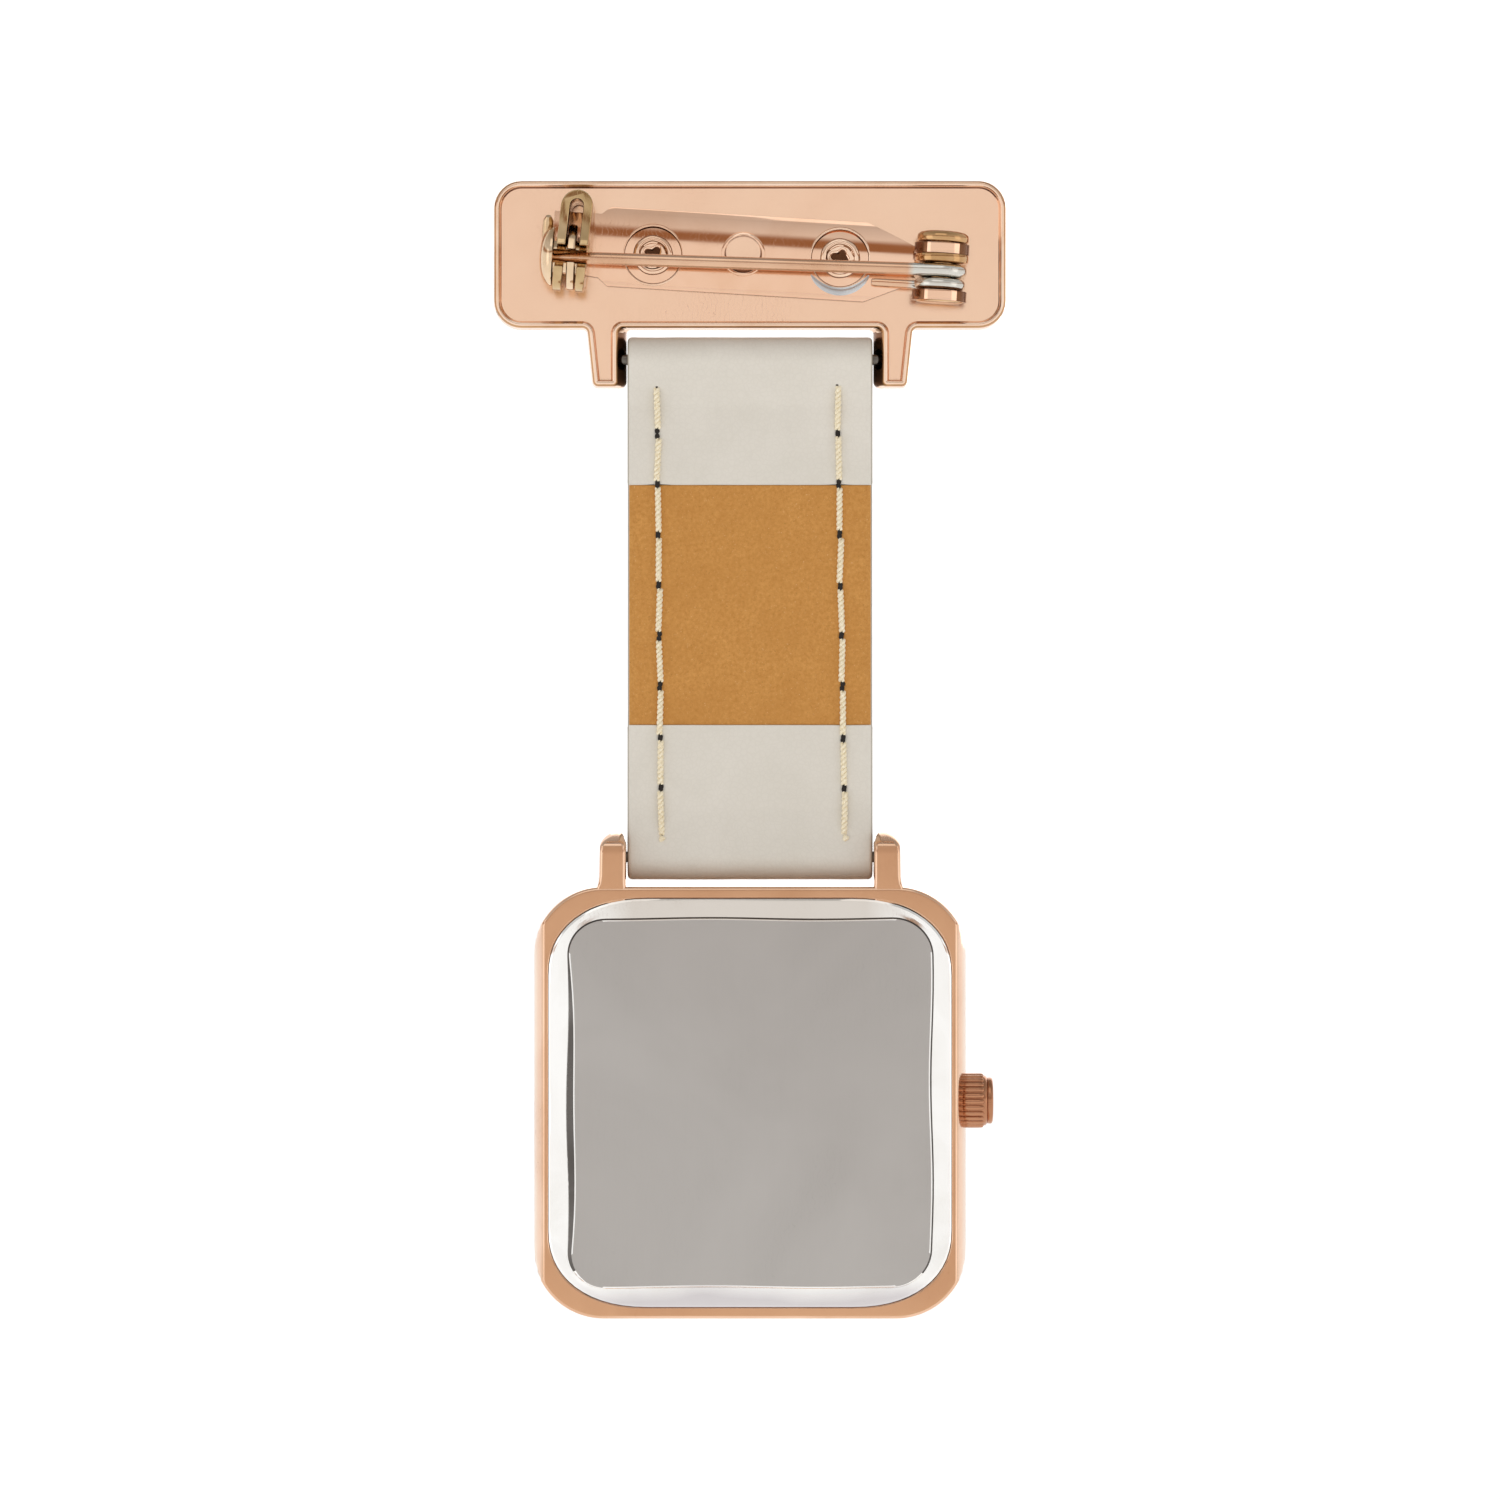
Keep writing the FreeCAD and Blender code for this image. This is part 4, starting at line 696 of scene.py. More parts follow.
# Pin assembly
hingePlace, hingeAxis = jointPlace("pin_hinge")
lockPlace, stripLine = jointPlace("lock_turn")
if stripLine.x < 0:
    stripLine = -stripLine
stemMount = [m for m in record["mounts"] if m["name"] == "brooch_pin"][0]
stemLine = Vector(stemMount["axis"]).normalized()
pinWire = {"coil": 1.45, "radius": 0.46, "coilRadius": 0.485, "tailRadius": 0.43, "reach": 29.2, "sweep": 350}
pinStrip = {"top": -3.5, "hole": (0.5, 0.93), "rivetReach": 1.47, "dish": 2.2, "edge": 0.07, "bandHalf": 2.75}


def rivetCentres():
    low, high = nodeBox("base_strip_rivets")
    reach = pinStrip["rivetReach"]
    return (high[0] - reach, high[2] - reach), (low[0] + reach, low[2] + reach)


def springTurn(centre, back, radius, startAngle, drop=0.0):
    # One turn of the spring round the hinge, and the wire's radius at each of its points.
    across, steps = Vector((0, 1, 0)), 44
    path, radii = [], []
    for s in range(steps + 1):
        share = s / steps
        angle = math.radians(startAngle[0] + startAngle[1] * share)
        arm = across * math.cos(angle) + back * math.sin(angle)
        sink = (drop * (1 - share) - drop / 2) * (1 - share)
        path.append(centre + arm * pinWire["coil"] + hingeAxis * sink)
        radii.append(radius)
    radii[0] = 0.3
    return path, radii


def makeStem():
    start = Vector((hingePlace.x, 0, hingePlace.z))
    back = hingeAxis.cross(Vector((0, 1, 0))).normalized()
    if back.dot(stemLine) < 0:
        back = -back
    path, radii = springTurn(hingePlace, back, pinWire["coilRadius"], (-pinWire["sweep"], pinWire["sweep"]), 0.04)
    wire = pinWire["radius"]
    cheek = pinWire["reach"] - 3.0  # where the stem enters the catch and starts to taper
    marks = [(0.4, 0.475), (1.2, 0.462), (2.4, wire), (cheek - 1.2, wire), (cheek - 0.2, 0.43),
             (cheek + 0.9, 0.36), (cheek + 1.6, 0.29), (cheek + 2.1, 0.2), (cheek + 2.5, 0.1), (cheek + 2.62, 0.03)]
    for distance, radius in marks:
        path.append(start + stemLine * distance)
        radii.append(radius)
    points, faces = sweep(path, radii, 24)
    piece = meshPiece("pinWireStem", points, faces, [roseWire], 50.0)
    outward(piece)
    shadeSmooth(piece.data, 50.0)
    return place(piece, "pin", "wire_steel", "pin_stem")


def makeTail():
    back = hingeAxis.cross(Vector((0, 1, 0))).normalized()
    if back.x < 0:
        back = -back
    turn = (180 + pinWire["sweep"], -pinWire["sweep"])
    path, radii = springTurn(hingePlace - hingeAxis, back, pinWire["tailRadius"], turn)
    start = path[-1]
    for distance, radius in [(0.5, 0.4), (1.2, 0.36), (3.0, 0.34), (4.7, 0.33), (4.95, 0.27), (5.0, 0.15)]:
        path.append(start + back * distance)
        radii.append(radius)
    points, faces = sweep(path, radii, 22)
    piece = meshPiece("pinSpringTail", points, faces, [roseWire], 50.0)
    outward(piece)
    shadeSmooth(piece.data, 50.0)
    return place(piece, "brooch", "wire_steel", "pin_spring_tail")


def makeRivets():
    seat = pinStrip["top"] - 0.25
    profile = [(1.3, -0.05), (1.44, 0.0), (1.47, 0.14), (1.43, 0.28), (1.32, 0.36), (1.18, 0.38), (1.06, 0.33),
               (0.98, 0.24), (0.86, 0.2), (0.74, 0.21), (0.6, 0.16), (0.5, 0.0), (0.42, -0.2), (0.38, -0.32)]
    parts = []
    for x, z in rivetCentres():

        def split(index, angle):
            if index < 8:
                return 0.01 * math.sin(7 * angle)
            return 0.1 * min(1, (index - 7) / 3) * math.sin(4 * angle + x) + 0.06 * math.sin(3 * angle)

        parts.append(lathe(profile, (x, seat, z), (0, 1, 0), 60, split))
    points, faces = joinParts(parts)
    piece = meshPiece("rolledRivets", points, faces, [rivetRose, splitShade, lipShade], 50.0)
    outward(piece)
    for polygon in piece.data.polygons:
        centre = polygon.center / mm
        inner = min(math.hypot(centre.x - x, centre.z - z) for x, z in rivetCentres())
        if inner < 0.46:
            polygon.material_index = 1
        elif inner > 1.42 or abs(inner - 0.98) < 0.05:
            polygon.material_index = 2
    shadeSmooth(piece.data, 50.0)
    return place(piece, "brooch", "rivet_steel", "base_strip_rivets")


def makeSolder():
    x, z = rivetCentres()[1]
    level = pinStrip["top"] - 0.03
    path, radii = [], []
    for s in range(25):
        share = s / 24
        angle = math.radians(208 + 124 * share)
        path.append((x + 2.46 * math.cos(angle), level, z + 2.46 * math.sin(angle)))
        radii.append(0.03 + 0.27 * math.sin(math.pi * share) ** 0.7)
    points, faces = sweep(path, radii, 14)
    points = [Vector((p.x, level + (p.y - level) * 0.35, p.z)) for p in points]  # flattened
    piece = meshPiece("solderCrescent", points, faces, [solderGrey], 50.0)
    outward(piece)
    return place(piece, "brooch", "rivet_steel")


def camber(q):
    # How far the strip's face falls away at q mm across from its middle line.
    return 0.036 * max(0.0, q + 0.1) ** 2 + 0.012 * max(0.0, -q - 0.1) ** 2


def makeRings():
    radius = pinStrip["dish"]
    edge = [(radius - 0.12, -0.06), (radius - 0.06, 0.02), (radius, 0.04), (radius + 0.07, 0.0), (radius + 0.1, -0.08)]
    parts = [lathe(edge, (x, pinStrip["top"] - 0.06, z), (0, 1, 0), 72) for x, z in rivetCentres()]
    (x, z), radius = pinStrip["hole"], 1.48
    flange = [(radius - 0.22, -0.5, 0.2), (radius - 0.2, -0.3, 0.17), (radius - 0.12, -0.06, 0.04),
              (radius - 0.08, 0.06, 0), (radius, 0.13, 0), (radius + 0.12, 0.08, 0), (radius + 0.17, -0.08, 0)]
    loops = []
    for reach, height, shift in flange:
        ring = [(reach * math.cos(t * math.pi / 36), reach * math.sin(t * math.pi / 36)) for t in range(72)]
        loops.append([Vector((x + a, pinStrip["top"] - 0.04 + height, z + shift + b)) for a, b in ring])
    parts.append(stackLoops(loops))
    opened = []
    for points, faces in parts:
        opened.append((points, [f for f in faces if len(f) == 4]))
    piece = meshPiece("pressedRings", *joinParts(opened), [rivetRose, lipShade], 50.0)
    outward(piece)
    for polygon in piece.data.polygons:
        centre = polygon.center / mm - Vector((x, 0, z))
        if math.hypot(centre.x, centre.z) < radius - 0.06 and centre.z < 0.5:
            polygon.material_index = 1
    shadeSmooth(piece.data, 50.0)
    return place(piece, "brooch", "pin_steel")


def makeStrip():
    work = mergedCopy("pin_base_strip")
    middle = Vector((pinStrip["hole"][0], 0, pinStrip["hole"][1]))
    across = hingeAxis
    for i in range(-8, 9):
        bmesh.ops.bisect_plane(
            work, geom=list(work.verts) + list(work.edges) + list(work.faces), dist=0.0,
            plane_co=(middle + across * (i * 0.35)) * mm, plane_no=across,
        )
    top = pinStrip["top"]
    for vert in work.verts:
        p = vert.co / mm
        q = (p - middle).dot(across)
        if top - 0.3 < p.y < top + 0.2 and abs(q) < 3.2:
            vert.co.y -= camber(q) * mm
    roundEdges(work, pinStrip["edge"], 32)
    piece = finishMesh(work, "pressedStrip", [stripRose, lipShade])
    mesh = piece.data
    for polygon in mesh.polygons:
        limit = 0.96 if polygon.normal.z > 0.12 else 0.8
        polygon.material_index = 1 if abs(polygon.normal.y) < limit else 0
    # The face's shading follows the camber smoothly, so its reflection doesn't break at the cuts.
    normals = [tuple(c.vector) for c in mesh.corner_normals]
    for polygon in mesh.polygons:
        for loop in polygon.loop_indices:
            p = mesh.vertices[mesh.loops[loop].vertex_index].co / mm
            q = (p - middle).dot(across)
            onFace = top - 0.6 < p.y < top + 0.05 and abs(q) < pinStrip["bandHalf"]
            if polygon.normal.y > 0.93 and onFace:
                slope = (camber(q + 0.01) - camber(q - 0.01)) / 0.02
                facing = (Vector((0, 1, 0)) + across * slope).normalized()
                normals[loop] = tuple(facing)
    mesh.normals_split_custom_set(normals)
    return place(piece, "brooch", "pin_steel", "pin_base_strip")


def makeHingeRivet():
    low, high = nodeBox("pin_hinge_rivet")
    across = hingeAxis if hingeAxis.z > 0 else -hingeAxis
    reach = (high[2] - low[2]) / 2 / across.z - 0.02
    middle = Vector(((low[0] + high[0]) / 2, hingePlace.y, (low[2] + high[2]) / 2))
    # radius, height over the lower end or under the upper end
    foot = [(0.05, 0.0), (1.2, 0.0), (1.6, 0.05), (1.8, 0.16), (1.88, 0.36), (1.88, 0.62), (1.84, 0.72), (0.84, 0.74)]
    spacer = [(0.84, -2.34), (1.74, -2.33), (1.92, -2.24), (1.95, -2.1), (1.95, -1.82), (1.9, -1.68), (1.78, -1.62)]
    head = [(0.84, -1.61), (0.84, -0.84), (1.8, -0.82), (1.88, -0.72), (1.9, -0.45), (1.84, -0.26), (1.64, -0.1),
            (1.3, -0.02), (0.7, 0.02), (0.05, 0.03)]
    profile = [(r, h - reach) for r, h in foot] + [(r, reach + h) for r, h in spacer + head]
    piece = meshPiece("hingeRivet", *lathe(profile, middle, across, 64), [hingeRose], 50.0)
    outward(piece)
    shadeSmooth(piece.data, 40.0)
    return place(piece, "brooch", "rivet_steel", "pin_hinge_rivet")


catchLook = {"lean": 3.2, "edge": 0.16, "gapHalf": 0.6}


def makeCatch():
    piece = softened("catch_housing", "foldedCatch", catchLook["edge"], [oliveBrass, lipShade], 4)
    centre = lockPlace
    # The folded catch stands a few degrees off square to the strip.
    slope = math.tan(math.radians(catchLook["lean"]))
    for vert in piece.data.vertices:
        vert.co.x -= slope * (vert.co.z - centre.z * mm)
    for polygon in piece.data.polygons:
        spot = polygon.center / mm
        inGap = abs((spot - centre).dot(stripLine)) < catchLook["gapHalf"]
        polygon.material_index = 1 if inGap and abs(polygon.normal.dot(stripLine)) > 0.9 else 0
    shadeSmooth(piece.data, 35.0)
    return place(piece, "brooch", "catch_brass", "catch_housing")


rotor = {
    "slotHalf": 0.5,
    # place along the axis, radius, growth of the slot
    "stations": [
        (-1.12, 1.12, 0.06), (-1.05, 1.2, 0.0), (-0.32, 1.22, 0.0), (-0.31, 2.3, 0.04), (-0.24, 2.39, 0.01),
        (-0.12, 2.42, 0.0), (0.12, 2.42, 0.0), (0.24, 2.39, 0.01), (0.31, 2.3, 0.04), (0.32, 1.22, 0.0),
        (1.34, 1.22, 0.0), (1.38, 1.15, 0.02),
    ],
    # radius, place along the axis
    "dome": [(1.0, 1.32), (2.1, 1.33), (2.2, 1.39), (2.22, 1.48), (2.14, 1.68), (1.94, 1.9), (1.6, 2.11),
             (1.12, 2.26), (0.56, 2.34), (0.03, 2.36)],
    # out from the axis, towards the back, radius
    "tab": [(1.2, -0.3, 0.38), (2.0, -0.2, 0.42), (2.6, 0.1, 0.38), (2.9, 0.3, 0.2)],
    "tabPlace": 1.87,
}


def slottedRing(radius, half):
    points = []
    edge = math.asin(min(0.95, half / radius))
    for i in range(41):
        angle = edge + (2 * math.pi - 2 * edge) * i / 40
        points.append((radius * math.sin(angle), radius * math.cos(angle)))
    for i in range(13):
        angle = math.pi * i / 12
        points.append((-half * math.cos(angle), -half * math.sin(angle)))
    return points


def makeLock():
    centre = lockPlace
    along = stripLine
    up = Vector((0, 0, 1)) - along * along.z
    up.normalize()
    loops = []
    for p, radius, widen in rotor["stations"]:
        ring = slottedRing(radius, rotor["slotHalf"] + widen)
        loops.append([centre + along * p + up * q + Vector((0, y, 0)) for q, y in ring])
    parts = [stackLoops(loops), lathe(rotor["dome"], centre, along, 56)]
    root = centre + along * rotor["tabPlace"]
    path = [root + up * q + Vector((0, y, 0)) for q, y, radius in rotor["tab"]]
    parts.append(sweep(path, [radius for q, y, radius in rotor["tab"]], 16))
    piece = meshPiece("rotorLock", *joinParts(parts), [lockBrass], 50.0)
    outward(piece)
    shadeSmooth(piece.data, 35.0)
    return place(piece, "lock", "lock_steel", "catch_lock")


makeStem()
makeTail()
makeRivets()
makeRings()
makeSolder()
makeStrip()
makeHingeRivet()
makeCatch()
makeLock()
print("pin assembly ready")


# Strap
strapLook = {
    "half": 9.0, "edge": 0.32, "front": -5.4, "back": -3.4, "loop": 1.65, "taper": 3.4, "mid": -4.4,
    "liningBack": -3.5, "puckerDepth": 0.09, "puckerWidth": 0.55, "lean": 12, "bore": 0.8, "barRadius": 0.75,
    "stitches": 9, "stitchLength": 3.1, "rowTop": 1.75, "rowBottom": 1.35,
    "rowX": {1: (6.85, 6.5), -1: (-6.4, -7.0)},  # each row's x at the upper and the lower bar
}
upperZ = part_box("upper_bar_tube")[0].z / mm + strapLook["barRadius"]
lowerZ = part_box("lower_bar_tube")[0].z / mm + strapLook["barRadius"]
liningLow, liningHigh = nodeBox("strap_lining")
caseZ = (nodeBox("case_back")[0][2] + nodeBox("case_back")[1][2]) / 2


def pushRun(points, a, b, spacing):
    a, b = Vector(a), Vector(b)
    count = max(1, round((b - a).length / spacing))
    for i in range(count):
        points.append(a.lerp(b, i / count))


def strapOutline():
    mid, back, front = strapLook["mid"], strapLook["back"], strapLook["front"]
    loop, taper = strapLook["loop"], strapLook["taper"]
    lean = math.radians(strapLook["lean"])
    c, s = math.cos(lean) * loop, math.sin(lean) * loop
    points = []
    pushRun(points, (back, liningHigh[2]), (back, upperZ - taper), 0.4)
    pushRun(points, (back, upperZ - taper), (mid + c, upperZ - s), 0.3)
    for i in range(24):
        angle = -lean + (math.pi + 2 * lean) * i / 24
        points.append(Vector((mid + loop * math.cos(angle), upperZ + loop * math.sin(angle))))
    pushRun(points, (mid - c, upperZ - s), (front, upperZ - taper), 0.3)
    pushRun(points, (front, upperZ - taper), (front, lowerZ + taper), 0.4)
    pushRun(points, (front, lowerZ + taper), (mid - c, lowerZ + s), 0.3)
    for i in range(24):
        angle = math.pi - lean + (math.pi + 2 * lean) * i / 24
        points.append(Vector((mid + loop * math.cos(angle), lowerZ + loop * math.sin(angle))))
    pushRun(points, (mid + c, lowerZ + s), (back, lowerZ + taper), 0.3)
    pushRun(points, (back, lowerZ + taper), (back, liningLow[2]), 0.4)
    pushRun(points, (back, liningLow[2]), (mid - 0.02, liningLow[2]), 0.16)
    pushRun(points, (mid - 0.02, liningLow[2]), (mid - 0.02, liningHigh[2]), 2.0)
    pushRun(points, (mid - 0.02, liningHigh[2]), (back, liningHigh[2]), 0.16)
    return points


def outlineNormals(points):
    normals = []
    count = len(points)
    for i in range(count):
        along = (points[(i + 1) % count] - points[i - 1]).normalized()
        normals.append(Vector((-along.y, along.x)))
    return normals


def stitchPlan(seed):
    shake = random.Random(seed)
    top = upperZ - strapLook["rowTop"]
    bottom = lowerZ + strapLook["rowBottom"]
    pitch = (top - bottom) / strapLook["stitches"]
    plan = []
    for i in range(strapLook["stitches"]):
        low = bottom + i * pitch + shake.uniform(0.06, 0.26)
        high = bottom + (i + 1) * pitch - shake.uniform(0.06, 0.26)
        plan.append((low, high))
    return plan


rows = {1: stitchPlan(4), -1: stitchPlan(9)}


def rowX(side, z):
    share = (upperZ - z) / (upperZ - lowerZ)
    start, end = strapLook["rowX"][side]
    return start + (end - start) * share


def dimple(x, z):
    # How far the thread pulls the face in, along each row and at each needle hole.
    depth = 0.0
    for side in (1, -1):
        away = abs(x - rowX(side, z))
        if away > 1.6:
            continue
        depth += 0.035 * math.exp(-(away / 0.5) ** 2)
        for low, high in rows[side]:
            for end in (low, high):
                far = math.hypot(away, z - end)
                if far < 1.4:
                    depth += strapLook["puckerDepth"] * math.exp(-(far / strapLook["puckerWidth"]) ** 2)
    return depth


def makeStrapShell():
    outline = strapOutline()
    normals = outlineNormals(outline)
    half, edge = strapLook["half"], strapLook["edge"]
    stations = []
    for i in range(6):
        angle = math.pi / 2 * i / 5
        stations.append((-half + edge - edge * math.cos(angle), edge * (1 - math.sin(angle))))
    inner = 46
    for i in range(1, inner):
        stations.append((-half + edge + (2 * half - 2 * edge) * i / inner, 0.0))
    for i in range(6):
        angle = math.pi / 2 * (1 - i / 5)
        stations.append((half - edge + edge * math.cos(angle), edge * (1 - math.sin(angle))))
    loops = []
    for x, inset in stations:
        ring = []
        for p, n in zip(outline, normals):
            depth = inset
            onFlat = upperZ - 2.2 > p.y > lowerZ + 2.2
            if onFlat and (p.x > -3.6 or p.x < -5.2):
                depth += dimple(x, p.y)
                depth += 0.02 * noise.noise(Vector((x * 0.35, p.y * 0.35, p.x * 3)))
            else:
                depth += 0.02 * noise.noise(Vector((x * 0.5, p.y * 0.5, 7.0)))
            spot = p + n * depth
            ring.append(Vector((x, spot.x, spot.y)))
        loops.append(ring)
    points, faces = stackLoops(loops, closeStart=False, closeEnd=False)
    bores = []
    for z in (upperZ, lowerZ):
        turns = [2 * math.pi * i / 32 for i in range(32)]
        bores.append([(strapLook["mid"] + strapLook["bore"] * math.cos(t), z + strapLook["bore"] * math.sin(t))
                      for t in turns])
    for x, ring in ((-half, loops[0]), (half, loops[-1])):
        rings = [ring] + [[Vector((x, y, z)) for y, z in bore] for bore in bores]
        flat = [p for r in rings for p in r]
        base = len(points)
        points += flat
        for tri in tessellate_polygon(rings):
            faces.append(tuple(base + i for i in tri))
    for bore in bores:
        ends = [[Vector((x, y, z)) for y, z in bore] for x in (-half, half)]
        tube, tubeFaces = stackLoops(ends, False, False)
        base = len(points)
        points += tube
        faces += [tuple(base + i for i in f) for f in tubeFaces]
    piece = meshPiece("strapHide", points, faces, [greyLeather], 45.0)
    work = bmesh.new()
    work.from_mesh(piece.data)
    bmesh.ops.remove_doubles(work, verts=work.verts, dist=0.0005 * mm)
    bmesh.ops.recalc_face_normals(work, faces=work.faces)
    work.to_mesh(piece.data)
    work.free()
    shadeSmooth(piece.data, 45.0)
    return place(piece, "strap", "leather", "strap_leather")


def makeLiningPatch():
    half = strapLook["half"] - 0.12
    low, high = liningLow[2] + 0.02, liningHigh[2] - 0.02
    back, deep = strapLook["liningBack"], strapLook["mid"]
    columns, lines = 60, 60
    points, faces = [], []
    for j in range(lines + 1):
        z = low + (high - low) * j / lines
        for i in range(columns + 1):
            x = -half + 2 * half * i / columns
            rim = min(half - abs(x), 0.3) / 0.3
            fall = 0.18 * (1 - math.sqrt(max(0.0, 1 - (1 - rim) ** 2)))
            y = back - fall - dimple(x, z) * 0.8 + 0.02 * noise.noise(Vector((x * 0.5, 3.0, z * 0.5)))
            points.append(Vector((x, y, z)))
    width = columns + 1
    for j in range(lines):
        for i in range(columns):
            a = j * width + i
            faces.append((a, a + 1, a + 1 + width, a + width))
    rim = [i for i in range(width)]
    rim += [j * width + columns for j in range(1, lines + 1)]
    rim += [lines * width + i for i in range(columns - 1, -1, -1)]
    rim += [j * width for j in range(lines - 1, 0, -1)]
    base = len(points)
    points += [Vector((points[i].x, deep, points[i].z)) for i in rim]
    count = len(rim)
    for i in range(count):
        j = (i + 1) % count
        faces.append((rim[i], base + i, base + j, rim[j]))
    faces.append(tuple(base + i for i in range(count)))
    piece = meshPiece("liningPatch", points, faces, [tanNubuck], 45.0)
    outward(piece)
    shadeSmooth(piece.data, 45.0)
    return place(piece, "strap", "lining", "strap_lining")


def stitchForm():
    # Two plies twist round each other and dive into the leather at both ends.
    parts = []
    steps, ply = 34, 0.125
    for start in (0, math.pi):
        path, radii = [], []
        for i in range(steps + 1):
            t = i / steps * 2 - 1
            height = 0.10 * (1 - abs(t) ** 5) - 0.32 * max(0, abs(t) - 0.82) / 0.18
            angle = start + 4.6 * math.pi * t
            run = 0.5 * t * (1 - 0.02 * t * t) * strapLook["stitchLength"]
            path.append((ply * math.cos(angle), height + ply * math.sin(angle), run))
            radii.append(ply * (1 - 0.45 * max(0, abs(t) - 0.85) / 0.15))
        parts.append(sweep(path, radii, 8))
    return meshPiece("stitchForm", *joinParts(parts), [creamThread], 60.0)


def copiesTree():
    tree = bpy.data.node_groups.new("copiesOnMarks", "GeometryNodeTree")
    tree.interface.new_socket(name="Marks", in_out="INPUT", socket_type="NodeSocketGeometry")
    for label, kind in (("Form", "NodeSocketObject"), ("Jitter", "NodeSocketFloat"),
                        ("Seed", "NodeSocketInt"), ("Finish", "NodeSocketMaterial")):
        tree.interface.new_socket(name=label, in_out="INPUT", socket_type=kind)
    tree.interface.new_socket(name="Geometry", in_out="OUTPUT", socket_type="NodeSocketGeometry")
    start = tree.nodes.new("NodeGroupInput")
    end = tree.nodes.new("NodeGroupOutput")
    info = tree.nodes.new("GeometryNodeObjectInfo")
    tree.links.new(start.outputs["Form"], info.inputs["Object"])
    turn, size = [
        addNode(tree, "GeometryNodeInputNamedAttribute", {"Name": label}, data_type="FLOAT_VECTOR").outputs[0]
        for label in ("turn", "size")
    ]
    # Sockets 2 and 3 are the least and the greatest of a random number, which comes out of socket 1.
    wobble = addNode(tree, "FunctionNodeRandomValue", {2: -1.0, 3: 1.0, "Seed": start.outputs["Seed"]},
                     data_type="FLOAT").outputs[1]
    lean = mathNode(tree, "MULTIPLY", wobble, start.outputs["Jitter"])
    extra = addNode(tree, "ShaderNodeCombineXYZ", {1: lean}).outputs[0]
    whole = addNode(tree, "ShaderNodeVectorMath", {0: turn, 1: extra}, operation="ADD").outputs[0]
    spots = tree.nodes.new("GeometryNodeInstanceOnPoints")
    tree.links.new(start.outputs["Marks"], spots.inputs["Points"])
    tree.links.new(info.outputs["Geometry"], spots.inputs["Instance"])
    tree.links.new(whole, spots.inputs["Rotation"])
    tree.links.new(size, spots.inputs["Scale"])
    real = tree.nodes.new("GeometryNodeRealizeInstances")
    tree.links.new(spots.outputs[0], real.inputs[0])
    finish = tree.nodes.new("GeometryNodeSetMaterial")
    tree.links.new(real.outputs[0], finish.inputs["Geometry"])
    tree.links.new(start.outputs["Finish"], finish.inputs["Material"])
    tree.links.new(finish.outputs[0], end.inputs["Geometry"])
    return tree


copies = copiesTree()


def marksObject(spots):
    # Each spot is a place in mm, a turn and a size.
    mesh = bpy.data.meshes.new("marks")
    mesh.from_pydata([tuple(Vector(spot[0]) * mm) for spot in spots], [], [])
    for index, label in ((1, "turn"), (2, "size")):
        layer = mesh.attributes.new(label, "FLOAT_VECTOR", "POINT")
        layer.data.foreach_set("vector", [c for spot in spots for c in spot[index]])
    return addObject("marks", mesh)


def repeatForm(name, form, spots, finish, jitter=0.0, seed=3):
    values = {"Form": form, "Jitter": jitter, "Seed": seed, "Finish": finish}
    piece = bakeTree(name, copies, marksObject(spots), values)
    outward(piece)
    shadeSmooth(piece.data, 45.0)
    return piece


def socketId(tree, label):
    for item in tree.interface.items_tree:
        if item.item_type == "SOCKET" and item.in_out == "INPUT" and item.name == label:
            return item.identifier
    return None


def bakeTree(name, tree, marks, values):
    modifier = marks.modifiers.new("make", "NODES")
    modifier.node_group = tree
    for label, value in values.items():
        modifier[socketId(tree, label)] = value
    bpy.context.view_layer.update()
    graph = bpy.context.evaluated_depsgraph_get()
    mesh = bpy.data.meshes.new_from_object(marks.evaluated_get(graph))
    mesh.name = name
    marks.modifiers.remove(modifier)
    bpy.data.objects.remove(marks)
    if not mesh.materials:
        mesh.materials.append(values["Finish"])
    return addObject(name, mesh)


def onLining(z):
    return liningLow[2] < z < liningHigh[2]


def backSurface(z):
    # The strap's back face at a height: flat, then leaning towards the loop round each bar.
    if onLining(z):
        return strapLook["liningBack"]
    back, taper, lean = strapLook["back"], strapLook["taper"], math.radians(strapLook["lean"])
    run = taper - math.sin(lean) * strapLook["loop"]
    share = max(z - (upperZ - taper), lowerZ + taper - z, 0.0) / run
    return back + (strapLook["mid"] + math.cos(lean) * strapLook["loop"] - back) * min(share, 1.0)


def joinMeshes(first, others):
    work = bmesh.new()
    work.from_mesh(first.data)
    for other in others:
        work.from_mesh(other.data)
        bpy.data.objects.remove(other)
    work.to_mesh(first.data)
    work.free()
    shadeSmooth(first.data, 45.0)
    return first


